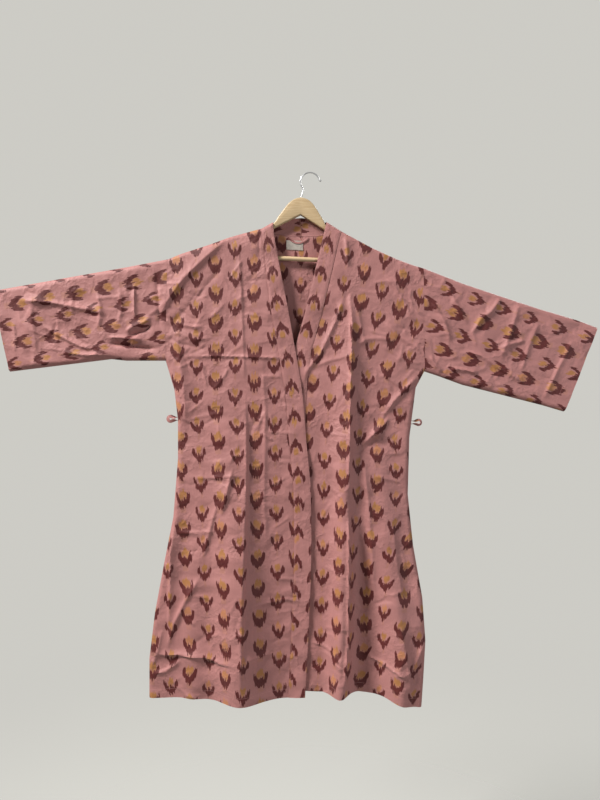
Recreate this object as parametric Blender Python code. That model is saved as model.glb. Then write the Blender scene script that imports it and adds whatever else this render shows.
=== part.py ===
"""Kimono robe spread flat on a wooden hanger.

Metres, +Z up. The robe faces -Y, and left and right are as a viewer in front sees them.
The origin is the inside top of the hanger's hook, where the whole part hangs.
"""

import math
from collections import namedtuple
from functools import partial

import bmesh
import bpy
import numpy as np
from mathutils import Matrix, Vector

# Cloth
CLOTH_WALL = 0.0016
BAND_WALL = 0.0022
SEAM_GAP = 0.0003
HALF_DEPTH = 0.0100
EDGE_REACH = 0.0100
FOLD_FADE = 0.0700
LAP_STEP = 0.0050
LAP_EDGE = 0.0750
LAP_SPREAD = 0.0600
LAP_FROM_Z = -0.290
LAP_RUN = 0.110

# Garment
HEM = -1.320
BACK_HEM_RISE = 0.008
UNDERARM_LEFT = -0.473
UNDERARM_RIGHT = -0.500
SIDE_LEAN = 0.028
LEAN_FROM_X = 0.150
LEAN_FROM_Z = -0.850
LABEL_SIZE = (0.042, 0.024)
LABEL_CENTRE = (-0.040, -0.1800)
LABEL_WALL = 0.0006
LOOP_STRIP = 0.0036
LOOP_WALL = 0.0008
BELT_LOOP_REACH = 0.029
BELT_LOOP_RISE = 0.0150
BELT_LOOP_STRIP = 0.0080

# Hanger
HANGER_X = -0.023
HANGER_TOP = -0.062
HANGER_TILT = math.radians(2.7)
WOOD = 0.012
WOOD_ROUND = 0.0030
BAR_Z = -0.217
BAR_RADIUS = 0.0055
BAR_HALF = 0.213
WIRE = 0.0018
HOOK_RADIUS = 0.0240
HOOK_CENTRE = (-0.0015, -0.0222)
HOOK_STEM = ((-0.0214, -0.0525), (-0.0194, -0.0445), (-0.0203, -0.0375), (-0.0236, -0.0305))
HOOK_ARC = (186.0, 12.0)

Outline = namedtuple("Outline", "x z")
Opening = namedtuple("Opening", "z free_x seam_x")
Fold = namedtuple("Fold", "top_x top_z hem_x spread top_depth hem_depth")
Arm = namedtuple("Arm", "reach top under")

# Shoulder and sleeve top, from the neck out to the cuff
TOP_LEFT = (
    Outline(-0.0950, -0.1250),
    Outline(-0.1215, -0.1400),
    Outline(-0.1735, -0.1540),
    Outline(-0.2080, -0.1640),
    Outline(-0.2575, -0.1820),
    Outline(-0.3265, -0.2045),
    Outline(-0.3590, -0.2180),
    Outline(-0.4575, -0.2370),
    Outline(-0.5850, -0.2595),
    Outline(-0.7990, -0.2975),
)
TOP_RIGHT = (
    Outline(0.0410, -0.1240),
    Outline(0.0780, -0.1475),
    Outline(0.1235, -0.1720),
    Outline(0.1590, -0.1910),
    Outline(0.2185, -0.2180),
    Outline(0.2620, -0.2340),
    Outline(0.2835, -0.2400),
    Outline(0.3830, -0.2790),
    Outline(0.4785, -0.3110),
    Outline(0.5740, -0.3425),
    Outline(0.6700, -0.3710),
    Outline(0.7210, -0.3900),
)
# Sleeve bottom, from the underarm out to the cuff
UNDER_LEFT = (
    Outline(-0.3650, UNDERARM_LEFT),
    Outline(-0.4640, -0.4730),
    Outline(-0.5020, -0.4690),
    Outline(-0.7570, -0.5005),
)
UNDER_RIGHT = (
    Outline(0.2865, UNDERARM_RIGHT),
    Outline(0.3200, -0.5110),
    Outline(0.3830, -0.5340),
    Outline(0.4470, -0.5500),
    Outline(0.5835, -0.5850),
    Outline(0.6380, -0.6010),
)
# Side seams, from the hem up to the underarm
SIDE_LEFT = (
    Outline(-0.4060, HEM),
    Outline(-0.4060, -1.2240),
    Outline(-0.3920, -1.1090),
    Outline(-0.3700, -0.9900),
    Outline(-0.3455, -0.8670),
    Outline(-0.3340, -0.7200),
    Outline(-0.3340, -0.6225),
    Outline(-0.3430, -0.5465),
    Outline(-0.3650, UNDERARM_LEFT),
)
SIDE_RIGHT = (
    Outline(0.2740, HEM - 0.010),
    Outline(0.2850, -1.1690),
    Outline(0.2790, -1.0660),
    Outline(0.2580, -0.9390),
    Outline(0.2450, -0.8095),
    Outline(0.2490, -0.6660),
    Outline(0.2650, -0.5410),
    Outline(0.2865, UNDERARM_RIGHT),
)
# Front opening: where each band's free edge and its seam lie at a height
OPENING_LEFT = (
    Opening(-1.3180, -0.0140, -0.0560),
    Opening(-1.1720, -0.0060, -0.0490),
    Opening(-1.0320, 0.0000, -0.0430),
    Opening(-0.9270, 0.0020, -0.0410),
    Opening(-0.7870, 0.0000, -0.0430),
    Opening(-0.6750, -0.0110, -0.0540),
    Opening(-0.5510, -0.0210, -0.0640),
    Opening(-0.4300, -0.0415, -0.0840),
    Opening(-0.3275, -0.0600, -0.1030),
    Opening(-0.2275, -0.0800, -0.1130),
    Opening(-0.1650, -0.0910, -0.1210),
)
OPENING_RIGHT = (
    Opening(-1.3030, -0.0550, -0.0130),
    Opening(-0.6000, -0.0550, -0.0130),
    Opening(-0.5200, -0.0500, -0.0080),
    Opening(-0.4450, -0.0400, 0.0020),
    Opening(-0.3570, -0.0150, 0.0280),
    Opening(-0.2790, 0.0035, 0.0460),
    Opening(-0.2150, 0.0190, 0.0610),
    Opening(-0.1650, 0.0310, 0.0720),
)
# Back neck: the seam, and the free edge that stands above it
NECK_SEAM = (
    Outline(-0.1215, -0.1400),
    Outline(-0.0980, -0.1510),
    Outline(-0.0600, -0.1565),
    Outline(-0.0230, -0.1580),
    Outline(0.0200, -0.1560),
    Outline(0.0560, -0.1525),
    Outline(0.0780, -0.1475),
)
NECK_FREE = (
    Outline(-0.0950, -0.1250),
    Outline(-0.0720, -0.1170),
    Outline(-0.0450, -0.1120),
    Outline(-0.0230, -0.1105),
    Outline(-0.0020, -0.1125),
    Outline(0.0200, -0.1170),
    Outline(0.0410, -0.1240),
)
HEM_LEFT = (
    Outline(-0.4060, HEM),
    Outline(-0.3170, -1.3160),
    Outline(-0.2200, -1.3200),
    Outline(-0.1600, -1.3220),
    Outline(-0.0560, -1.3180),
)
HEM_RIGHT = (
    Outline(0.2740, HEM - 0.010),
    Outline(0.2300, -1.3230),
    Outline(0.1800, -1.3090),
    Outline(0.1200, -1.3020),
    Outline(0.0700, -1.3070),
    Outline(-0.0130, -1.3030),
)
HEM_BACK = (
    Outline(-0.4060, HEM),
    Outline(-0.2500, HEM + BACK_HEM_RISE),
    Outline(0.1500, HEM + BACK_HEM_RISE),
    Outline(0.2740, HEM - 0.010),
)
# Ridges of the front, towards the viewer
FRONT_FOLDS = (
    Fold(-0.215, -0.420, -0.174, 0.058, 0.002, 0.046),
    Fold(-0.275, -0.560, -0.292, 0.030, 0.000, 0.012),
    Fold(0.100, -0.300, 0.071, 0.024, 0.005, 0.040),
    Fold(0.150, -0.520, 0.230, 0.042, 0.000, 0.030),
)
# Ridges of the back, away from the viewer
BACK_FOLDS = (
    Fold(-0.250, -0.450, -0.270, 0.050, 0.000, 0.013),
    Fold(-0.060, -0.300, -0.065, 0.055, 0.000, 0.010),
    Fold(0.130, -0.450, 0.160, 0.045, 0.000, 0.014),
)
# Hanger arm: how far out, its top edge and its underside
ARM = (
    Arm(0.000, -0.0620, -0.1060),
    Arm(0.016, -0.0665, -0.1150),
    Arm(0.030, -0.0770, -0.1230),
    Arm(0.041, -0.0910, -0.1290),
    Arm(0.049, -0.1030, -0.1340),
    Arm(0.057, -0.1145, -0.1385),
    Arm(0.063, -0.1258, -0.1420),
    Arm(0.072, -0.1346, -0.1470),
    Arm(0.082, -0.1399, -0.1526),
    Arm(0.092, -0.1460, -0.1580),
    Arm(0.100, -0.1494, -0.1625),
    Arm(0.148, -0.1654, -0.1870),
    Arm(0.186, -0.1838, -0.2070),
    Arm(0.200, -0.1894, -0.2260),
    Arm(0.216, -0.1957, -0.2330),
    Arm(0.222, -0.2020, -0.2290),
)

# Where the grid lines run, as shares of a panel
CLOSE_STEPS = (0.0, 0.0035, 0.012, 0.030)
FRONT_COLUMNS = CLOSE_STEPS + tuple(np.linspace(0.10, 1.0, 14))
BODY_ROWS = 17
YOKE_ROWS = 6
CLOSE_ROWS = (0.955, 0.9905, 0.996, 0.9988, 1.0)
NECK_COLUMNS = (0.0, 0.02, 0.05, 0.09, 0.15, 0.30, 0.50, 0.70, 0.85, 0.91, 0.95, 0.98, 1.0)
NECK_SHARE = (0.418, 0.711)
SLEEVE_STEPS = (0.0, 0.005, 0.017, 0.040, 0.13, 0.25, 0.37)
SLEEVE_RINGS = 9

PINK = (0.56, 0.27, 0.27, 1.0)
OYSTER = (0.62, 0.56, 0.50, 1.0)
BEECH = (0.62, 0.43, 0.23, 1.0)
CHROME = (0.80, 0.80, 0.82, 1.0)


def clear_scene():
    for thing in list(bpy.data.objects):
        bpy.data.objects.remove(thing, do_unlink=True)


def material(name, colour, roughness, metallic=0.0):
    made = bpy.data.materials.get(name) or bpy.data.materials.new(name)
    made.use_nodes = True
    shader = made.node_tree.nodes["Principled BSDF"]
    shader.inputs["Base Color"].default_value = colour
    shader.inputs["Roughness"].default_value = roughness
    shader.inputs["Metallic"].default_value = metallic
    return made


def smooth(value):
    """0 to 1 with level ends."""
    share = np.clip(value, 0.0, 1.0)
    return share * share * (3.0 - 2.0 * share)


def along(line, share):
    """The point at a share of the length of a line of rows that hold x and z."""
    points = np.array([(row.x, row.z) for row in line])
    lengths = np.hypot(*np.diff(points, axis=0).T)
    places = np.concatenate([[0.0], np.cumsum(lengths)]) / lengths.sum()
    return np.array([np.interp(share, places, points[:, axis]) for axis in (0, 1)])


CLOSED_EDGES = (TOP_LEFT, TOP_RIGHT, UNDER_LEFT, UNDER_RIGHT, SIDE_LEFT, SIDE_RIGHT)


def edge_distance(x, z):
    """How far a point lies from where front and back close on each other."""
    spot = np.array([x, z])
    nearest = math.inf
    for line in CLOSED_EDGES:
        points = np.array([(row.x, row.z) for row in line])
        starts, runs = points[:-1], np.diff(points, axis=0)
        shares = ((spot - starts) * runs).sum(axis=1) / (runs * runs).sum(axis=1)
        feet = starts + runs * np.clip(shares, 0.0, 1.0)[:, None]
        nearest = min(nearest, np.hypot(*(spot - feet).T).min())
    return nearest


def closing(distance):
    """A round shoulder: 0 at a closed edge, 1 past EDGE_REACH."""
    share = 1.0 - min(distance, EDGE_REACH) / EDGE_REACH
    return math.sqrt(1.0 - share * share)


def fold_height(folds, x, z):
    total = 0.0
    for fold in folds:
        share = (fold.top_z - z) / (fold.top_z - HEM)
        if share <= 0.0:
            continue
        ridge_x = fold.top_x + (fold.hem_x - fold.top_x) * share
        depth = fold.top_depth * smooth(share * 5.0)
        depth += (fold.hem_depth - fold.top_depth) * smooth(share)
        total += depth * math.exp(-(((x - ridge_x) / fold.spread) ** 2))
    return total


def lean(x, z):
    """The right side swings forward towards its hem."""
    return -SIDE_LEAN * smooth((x - LEAN_FROM_X) / 0.12) * smooth((LEAN_FROM_Z - z) / 0.45)


def front_y(x, z):
    reach = edge_distance(x, z)
    folds = fold_height(FRONT_FOLDS, x, z) * smooth(reach / FOLD_FADE)
    return lean(x, z) - HALF_DEPTH * closing(reach) - folds


def lapped_y(x, z):
    """The right front, which passes under the left one."""
    under = smooth((LAP_EDGE - x) / LAP_SPREAD) * smooth((LAP_FROM_Z - z) / LAP_RUN)
    return front_y(x, z) + LAP_STEP * under


def back_y(x, z):
    reach = edge_distance(x, z)
    folds = fold_height(BACK_FOLDS, x, z) * smooth(reach / FOLD_FADE)
    return lean(x, z) + HALF_DEPTH * closing(reach) + folds


def body_rows(underarm):
    """Row shares from hem to shoulder, with one row at the underarm and close ones at the top."""
    lower = np.linspace(0.0, underarm, BODY_ROWS + 1)
    upper = np.linspace(underarm, CLOSE_ROWS[0], YOKE_ROWS + 1)[1:-1]
    return tuple(lower) + tuple(upper) + CLOSE_ROWS


def outer_line(side, top):
    """Side seam and armhole as one line, hem to shoulder end."""
    return tuple(side) + (armhole_top(top),)


def armhole_top(top):
    """The row of a top line where shoulder ends and sleeve starts."""
    return top[6]


def shoulder_line(top):
    """Armhole to the band's seam at the neck."""
    return tuple(reversed(top[1:7]))


def underarm_share(side, top):
    line = outer_line(side, top)
    points = np.array([(row.x, row.z) for row in line])
    lengths = np.hypot(*np.diff(points, axis=0).T)
    return 1.0 - lengths[-1] / lengths.sum()


def opening_lines(opening, top):
    """The free edge and the seam of one front's band, hem to neck."""
    free = tuple(Outline(row.free_x, row.z) for row in opening) + (top[0],)
    seam = tuple(Outline(row.seam_x, row.z) for row in opening) + (top[1],)
    return free, seam


def patch_point(bottom, top, outer, inner, across, up):
    """A point of the panel between four edges that meet at its corners.

    bottom and top give the edges' points by share; outer and inner are the points at this height.
    """
    corners = (
        (1 - across) * (1 - up) * bottom(0.0)
        + across * (1 - up) * bottom(1.0)
        + (1 - across) * up * top(0.0)
        + across * up * top(1.0)
    )
    upright = (1 - up) * bottom(across) + up * top(across)
    return upright + (1 - across) * outer + across * inner - corners


def sheet(name, places, wall, flat_rims, looks, round_tube=False):
    """Cloth through a grid of places[row][column], thickened evenly both ways.

    flat_rims gives, for a row and column, the directions that the wall's thickness leaves out there,
    so that the rims of two pieces that are sewn together face each other squarely.
    """
    rows, columns = len(places), len(places[0])
    bm = bmesh.new()
    bmesh.ops.create_grid(bm, x_segments=columns - 1, y_segments=rows - 1, size=0.5)
    key = bm.verts.layers.int.new("place")
    for vert in bm.verts:
        column = round((vert.co.x + 0.5) * (columns - 1))
        row = round((vert.co.y + 0.5) * (rows - 1))
        vert[key] = row * columns + column
        vert.co = places[row][column]
    if round_tube:
        bmesh.ops.remove_doubles(bm, verts=bm.verts, dist=1e-6)
    bm.normal_update()
    steps = {}
    for vert in bm.verts:
        normal = vert.normal.copy()
        for direction in flat_rims(*divmod(vert[key], columns)):
            normal -= direction * normal.dot(direction)
        steps[vert[key]] = normal.normalized() * (wall / 2)
    kept = set(bm.verts)
    bmesh.ops.extrude_face_region(bm, geom=list(bm.faces), use_keep_orig=True)
    for vert in bm.verts:
        vert.co += steps[vert[key]] if vert in kept else -steps[vert[key]]
    bm.verts.layers.int.remove(key)
    return finish(name, bm, looks)


def finish(name, bm, looks):
    bmesh.ops.recalc_face_normals(bm, faces=bm.faces)
    mesh = bpy.data.meshes.new(name)
    bm.to_mesh(mesh)
    bm.free()
    mesh.shade_smooth()
    mesh.set_sharp_from_angle(angle=math.radians(40))
    mesh.materials.append(looks)
    made = bpy.data.objects.new(name, mesh)
    bpy.context.scene.collection.objects.link(made)
    return made


ALONG_X = Vector((1.0, 0.0, 0.0))
ALONG_Y = Vector((0.0, 1.0, 0.0))
ALONG_Z = Vector((0.0, 0.0, 1.0))


def band_across(free, seam, share):
    """The direction from a band's seam to its free edge, in the plane of the garment."""
    step = along(free, share) - along(seam, share)
    return Vector((step[0], 0.0, step[1])).normalized()


def front_panel(name, side, top, opening, hem, depth, looks):
    outer = outer_line(side, top)
    free, seam = opening_lines(opening, top)
    rows = body_rows(underarm_share(side, top))
    shoulder = shoulder_line(top)
    last = len(rows) - 1
    hem_at, shoulder_at = partial(along, hem), partial(along, shoulder)
    places = []
    for up in rows:
        line = []
        for across in FRONT_COLUMNS:
            ends = along(outer, up), along(seam, up)
            x, z = patch_point(hem_at, shoulder_at, *ends, across, up)
            line.append(Vector((x, depth(x, z), z)))
        places.append(line)
    for place in places[last]:
        place.y = -SEAM_GAP / 2
    for row in range(BODY_ROWS + 1):
        place = places[row][0]
        place.y = lean(place.x, place.z) - SEAM_GAP / 2

    def rims(row, column):
        found = []
        if column == len(FRONT_COLUMNS) - 1:
            found.append(band_across(free, seam, rows[row]))
        if row == 0:
            found.append(ALONG_Z)
        if row == last or (column == 0 and row <= BODY_ROWS):
            found.append(ALONG_Y)
        if column == 0 and row >= BODY_ROWS:
            found.append(ALONG_X)
        return found

    return sheet(name, places, CLOTH_WALL, rims, looks)


def back_columns():
    left = [share * NECK_SHARE[0] for share in CLOSE_STEPS + tuple(np.linspace(0.12, 1.0, 9))]
    neck = [NECK_SHARE[0] + (NECK_SHARE[1] - NECK_SHARE[0]) * q for q in NECK_COLUMNS[1:-1]]
    right_span = 1.0 - NECK_SHARE[1]
    right = [1.0 - s * right_span for s in CLOSE_STEPS + tuple(np.linspace(0.12, 1.0, 8))]
    return left + neck + right[::-1], len(left) - 1


def back_top_point(across):
    """The back's upper edge: left shoulder, neck, right shoulder."""
    if across <= NECK_SHARE[0]:
        return along(shoulder_line(TOP_LEFT), across / NECK_SHARE[0])
    if across >= NECK_SHARE[1]:
        return along(shoulder_line(TOP_RIGHT), (1.0 - across) / (1.0 - NECK_SHARE[1]))
    return along(NECK_SEAM, (across - NECK_SHARE[0]) / (NECK_SHARE[1] - NECK_SHARE[0]))


def back_panel(looks):
    left, right = outer_line(SIDE_LEFT, TOP_LEFT), outer_line(SIDE_RIGHT, TOP_RIGHT)
    rows_left = body_rows(underarm_share(SIDE_LEFT, TOP_LEFT))
    rows_right = body_rows(underarm_share(SIDE_RIGHT, TOP_RIGHT))
    columns, neck_start = back_columns()
    neck_end = neck_start + len(NECK_COLUMNS) - 1
    last = len(rows_left) - 1
    hem_at = partial(along, HEM_BACK)
    places = []
    for up_left, up_right in zip(rows_left, rows_right):
        ends = along(left, up_left), along(right, up_right)
        line = []
        for across in columns:
            up = up_left + (up_right - up_left) * across
            x, z = patch_point(hem_at, back_top_point, *ends, across, up)
            line.append(Vector((x, back_y(x, z), z)))
        places.append(line)
    for column in list(range(neck_start + 1)) + list(range(neck_end, len(columns))):
        places[last][column].y = SEAM_GAP / 2
    for row in range(BODY_ROWS + 1):
        for place in (places[row][0], places[row][-1]):
            place.y = lean(place.x, place.z) + SEAM_GAP / 2

    def rims(row, column):
        found = []
        on_side = column in (0, len(columns) - 1)
        if row == last and neck_start <= column <= neck_end:
            found.append(band_across(NECK_FREE, NECK_SEAM, NECK_COLUMNS[column - neck_start]))
        if row == last and (column <= neck_start or column >= neck_end):
            found.append(ALONG_Y)
        if row == 0:
            found.append(ALONG_Z)
        if on_side and row <= BODY_ROWS:
            found.append(ALONG_Y)
        if on_side and row >= BODY_ROWS:
            found.append(ALONG_X)
        return found

    return sheet("back_panel", places, CLOTH_WALL, rims, looks)


def sleeve(name, top, under, outward, looks):
    """One tube from the armhole to the open cuff."""
    top_line = top[6:]
    steps = SLEEVE_STEPS + (0.5,) + tuple(1.0 - step for step in reversed(SLEEVE_STEPS))
    places = []
    for ring in range(SLEEVE_RINGS + 1):
        share = ring / SLEEVE_RINGS
        high, low = along(top_line, share), along(under, share)
        if ring == 0:
            high, low = high + [outward * SEAM_GAP, 0.0], low + [outward * SEAM_GAP, 0.0]
        spots = [high + (low - high) * step for step in steps]
        front = [Vector((x, front_y(x, z), z)) for x, z in spots]
        back = [Vector((x, back_y(x, z), z)) for x, z in spots]
        for end in (0, -1):
            front[end].y = back[end].y = 0.0
        places.append(front + back[-2::-1])

    def rims(row, column):
        return [ALONG_X] if row in (0, SLEEVE_RINGS) else []

    return sheet(name, places, CLOTH_WALL, rims, looks, round_tube=True)


def neck_band(looks):
    """One strip up the left front, round the back neck and down the right front."""
    parts = []
    for side, top, opening, depth in (
        (SIDE_LEFT, TOP_LEFT, OPENING_LEFT, front_y),
        (SIDE_RIGHT, TOP_RIGHT, OPENING_RIGHT, lapped_y),
    ):
        free, seam = opening_lines(opening, top)
        rows = body_rows(underarm_share(side, top))
        parts.append([(free, seam, share, depth) for share in rows])
    neck = [(NECK_FREE, NECK_SEAM, share, back_y) for share in NECK_COLUMNS[1:-1]]
    sections = parts[0] + neck + parts[1][::-1]
    shoulder_rows = (len(parts[0]) - 1, len(parts[0]) + len(neck))
    places = []
    for index, (free, seam, share, depth) in enumerate(sections):
        edge, start = along(free, share), along(seam, share)
        start = start + (edge - start) * SEAM_GAP / np.hypot(*(edge - start))
        line = []
        for step in (0.0, 1 / 3, 2 / 3, 1.0):
            x, z = start + (edge - start) * step
            y = 0.0 if index in shoulder_rows else depth(x, z)
            line.append(Vector((x, y, z)))
        places.append(line)

    def rims(row, column):
        free, seam, share, _ = sections[row]
        found = [band_across(free, seam, share)] if column == 0 else []
        if row in (0, len(sections) - 1):
            found.append(ALONG_Z)
        return found

    return sheet("neck_band", places, BAND_WALL, rims, looks)


def label(looks):
    """A small patch sewn to the inside of the back, made from the back's own points."""
    clear = (CLOTH_WALL + LABEL_WALL) / 2 + SEAM_GAP
    places = []
    for up in np.linspace(-0.5, 0.5, 3):
        line = []
        for across in np.linspace(-0.5, 0.5, 5):
            x = LABEL_CENTRE[0] + across * LABEL_SIZE[0]
            z = LABEL_CENTRE[1] + up * LABEL_SIZE[1] - across * 0.002
            line.append(Vector((x, back_y(x, z) - clear, z)))
        places.append(line)
    return sheet("label", places, LABEL_WALL, lambda row, column: [], looks)


def hanging_loop(looks):
    """A narrow strip that hangs in a shallow bow from the neck seam, inside the back."""
    left, right, sag = -0.057, -0.005, 0.0135
    clear = (CLOTH_WALL + LOOP_WALL) / 2 + SEAM_GAP
    over_label = LABEL_WALL + SEAM_GAP + 0.0004
    places = []
    for side in (-0.5, 0.5):
        line = []
        for share in np.linspace(0.0, 1.0, 15):
            bow = math.sin(math.pi * share)
            angle = math.atan2(sag * math.pi * math.cos(math.pi * share), right - left)
            x = left + (right - left) * share + side * LOOP_STRIP * math.sin(angle)
            z = -0.1610 - sag * bow + side * LOOP_STRIP * math.cos(angle)
            y = back_y(x, z) - clear - over_label * smooth(3.0 * bow)
            line.append(Vector((x, y, z)))
        places.append(line)
    return sheet("hanging_loop", places, LOOP_WALL, lambda row, column: [], looks)


def belt_loop(name, side, height, outward, looks):
    """A strip that stands out from the side seam and comes back to it lower down."""
    points = np.array([(row.z, row.x) for row in side])
    radius = BELT_LOOP_RISE / 2
    straight = BELT_LOOP_REACH - radius
    path = []
    for level in (1.0, -1.0):
        z = height + level * radius
        seam_x = np.interp(z, points[:, 0], points[:, 1])
        path.append((seam_x + outward * (CLOTH_WALL / 2 + SEAM_GAP), z))
    centre = np.interp(height, points[:, 0], points[:, 1]) + outward * straight
    bend = []
    for angle in np.linspace(90.0, -90.0, 9):
        turn = math.radians(angle)
        bend.append((centre + outward * radius * math.cos(turn), height + radius * math.sin(turn)))
    route = [path[0]] + bend + [path[1]]
    places = [
        [Vector((x, share * BELT_LOOP_STRIP, z)) for x, z in route] for share in (-0.5, 0.0, 0.5)
    ]

    def rims(row, column):
        return [ALONG_X] if column in (0, len(route) - 1) else []

    return sheet(name, places, CLOTH_WALL, rims, looks)


def hanger_point(reach, z):
    """A place on the hanger's middle plane, tipped as the hanger hangs."""
    pivot = Vector((HANGER_X, 0.0, HANGER_TOP))
    turn = Matrix.Rotation(HANGER_TILT, 4, "Y")
    return pivot + turn @ Vector((reach, 0.0, z - HANGER_TOP))


def hanger_body(looks):
    """Flat shaped wood with a socket in each end for the bar."""
    top = [(row.reach, row.top) for row in ARM]
    under = [(row.reach, row.under) for row in reversed(ARM)]
    outline = top + under
    outline += [(-reach, z) for reach, z in reversed(under[:-1])]
    outline += [(-reach, z) for reach, z in reversed(top[1:])]
    bm = bmesh.new()
    edge = [bm.verts.new(hanger_point(reach, z) + ALONG_Y * (WOOD / 2)) for reach, z in outline]
    face = bm.faces.new(edge)
    pushed = bmesh.ops.extrude_face_region(bm, geom=[face], use_keep_orig=True)
    moved = [item for item in pushed["geom"] if isinstance(item, bmesh.types.BMVert)]
    bmesh.ops.translate(bm, verts=moved, vec=ALONG_Y * -WOOD)
    made = finish("hanger_body", bm, looks)
    rounded = made.modifiers.new("Round edges", "BEVEL")
    rounded.width = WOOD_ROUND
    rounded.segments = 2
    rounded.limit_method = "ANGLE"
    rounded.angle_limit = math.radians(60)
    for side in (-1, 1):
        inner, outer = BAR_HALF - 0.034, BAR_HALF + 0.0010
        cutter = rod("bar_socket_cutter", side * inner, side * outer, BAR_RADIUS + SEAM_GAP, looks)
        cutter.hide_render = True
        cutter.display_type = "WIRE"
        cut = made.modifiers.new("Bar socket", "BOOLEAN")
        cut.operation = "DIFFERENCE"
        cut.object = cutter
    return made


def rod(name, start, end, radius, looks):
    """A round rod along the bar's line, between two reaches."""
    first, second = hanger_point(start, BAR_Z), hanger_point(end, BAR_Z)
    bm = bmesh.new()
    bmesh.ops.create_cone(
        bm,
        cap_ends=True,
        segments=20,
        radius1=radius,
        radius2=radius,
        depth=(second - first).length,
    )
    turn = (second - first).to_track_quat("Z", "Y").to_matrix().to_4x4()
    place = Matrix.Translation((first + second) / 2) @ turn
    bmesh.ops.transform(bm, matrix=place, verts=bm.verts)
    return finish(name, bm, looks)


def hanger_hook(looks):
    """Bent wire: a stem out of the wood, a round bow and a small ball tip."""
    foot = hanger_point(0.0, HANGER_TOP)
    points = [(foot.x, foot.z + SEAM_GAP + 0.0002)]
    points += list(HOOK_STEM)
    start, end = HOOK_ARC
    for angle in np.linspace(start, end, 16):
        turn = math.radians(angle)
        x = HOOK_CENTRE[0] + HOOK_RADIUS * math.cos(turn)
        points.append((x, HOOK_CENTRE[1] + HOOK_RADIUS * math.sin(turn)))
    thick = [1.0] * len(points)
    tip_x, tip_z = points[-1]
    for out, swell in ((0.0015, 1.25), (0.0032, 1.45), (0.0050, 1.25), (0.0058, 0.7)):
        points.append((tip_x + out * 0.9, tip_z - out * 0.55))
        thick.append(swell)
    curve = bpy.data.curves.new("hanger_hook", "CURVE")
    curve.dimensions = "3D"
    curve.bevel_depth = WIRE
    curve.bevel_resolution = 2
    curve.use_fill_caps = True
    line = curve.splines.new("POLY")
    line.points.add(len(points) - 1)
    for point, (x, z), swell in zip(line.points, points, thick):
        point.co = (x, 0.0, z, 1.0)
        point.radius = swell
    curve.materials.append(looks)
    made = bpy.data.objects.new("hanger_hook", curve)
    bpy.context.scene.collection.objects.link(made)
    return made


def main():
    clear_scene()
    cotton = material("printed_cotton", PINK, 0.85)
    woven = material("woven_label", OYSTER, 0.8)
    wood = material("pale_wood", BEECH, 0.45)
    wire = material("polished_wire", CHROME, 0.15, 1.0)
    back_panel(cotton)
    front_panel(
        "front_left", SIDE_LEFT, TOP_LEFT, OPENING_LEFT, HEM_LEFT, front_y, cotton
    )
    front_panel(
        "front_right", SIDE_RIGHT, TOP_RIGHT, OPENING_RIGHT, HEM_RIGHT, lapped_y, cotton
    )
    sleeve("sleeve_left", TOP_LEFT, UNDER_LEFT, -1.0, cotton)
    sleeve("sleeve_right", TOP_RIGHT, UNDER_RIGHT, 1.0, cotton)
    neck_band(cotton)
    hanging_loop(cotton)
    label(woven)
    belt_loop("belt_loop_left", SIDE_LEFT, -0.6200, -1.0, cotton)
    belt_loop("belt_loop_right", SIDE_RIGHT, -0.6290, 1.0, cotton)
    hanger_body(wood)
    rod("hanger_bar", -BAR_HALF, BAR_HALF, BAR_RADIUS, wood)
    hanger_hook(wire)


if __name__ == "__main__":
    main()
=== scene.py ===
"""Looks of a kimono robe on a wooden hanger: printed cotton, sewing, creases, wood and wire.

Metres, +Z up. The robe faces -Y, and left and right are as a viewer in front sees them.
The origin is the inside top of the hanger's hook.
"""

import math
from collections import namedtuple
from functools import partial

import bmesh
import bpy
import numpy as np
from bpy.props import FloatProperty, FloatVectorProperty, PointerProperty
from mathutils import Matrix, Vector


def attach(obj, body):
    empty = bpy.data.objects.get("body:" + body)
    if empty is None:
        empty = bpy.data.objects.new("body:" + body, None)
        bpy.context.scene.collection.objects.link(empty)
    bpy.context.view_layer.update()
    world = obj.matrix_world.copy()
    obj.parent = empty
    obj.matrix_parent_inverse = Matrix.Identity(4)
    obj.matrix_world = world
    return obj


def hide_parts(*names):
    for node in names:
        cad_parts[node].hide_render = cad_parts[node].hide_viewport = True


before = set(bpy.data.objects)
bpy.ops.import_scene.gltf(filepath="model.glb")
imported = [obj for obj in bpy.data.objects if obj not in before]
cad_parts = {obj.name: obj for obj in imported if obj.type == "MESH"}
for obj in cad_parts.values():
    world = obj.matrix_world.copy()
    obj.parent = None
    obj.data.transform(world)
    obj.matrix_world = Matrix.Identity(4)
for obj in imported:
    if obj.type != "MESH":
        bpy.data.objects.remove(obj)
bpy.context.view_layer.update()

bl_info = {
    "name": "Kimono robe on a hanger",
    "version": (1, 0, 0),
    "blender": (4, 5, 0),
    "location": "3D View > Sidebar > Robe",
    "description": "Builds a printed cotton kimono robe hung on a wooden hanger",
    "category": "Object",
}

# Form of the garment, as in the solids
SEAM_GAP = 0.0003
HALF_DEPTH = 0.0100
EDGE_REACH = 0.0100
FOLD_FADE = 0.0700
LAP_STEP = 0.0050
LAP_EDGE = 0.0750
LAP_SPREAD = 0.0600
LAP_FROM_Z = -0.290
LAP_RUN = 0.110
HEM = -1.320
BACK_HEM_RISE = 0.008
UNDERARM_LEFT = -0.473
UNDERARM_RIGHT = -0.500
SIDE_LEAN = 0.028
LEAN_FROM_X = 0.150
LEAN_FROM_Z = -0.850
LABEL_SIZE = (0.042, 0.024)
LABEL_CENTRE = (-0.040, -0.1800)
BELT_LOOP_REACH = 0.029
BELT_LOOP_RISE = 0.0150
BELT_LOOP_STRIP = 0.0080

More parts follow.
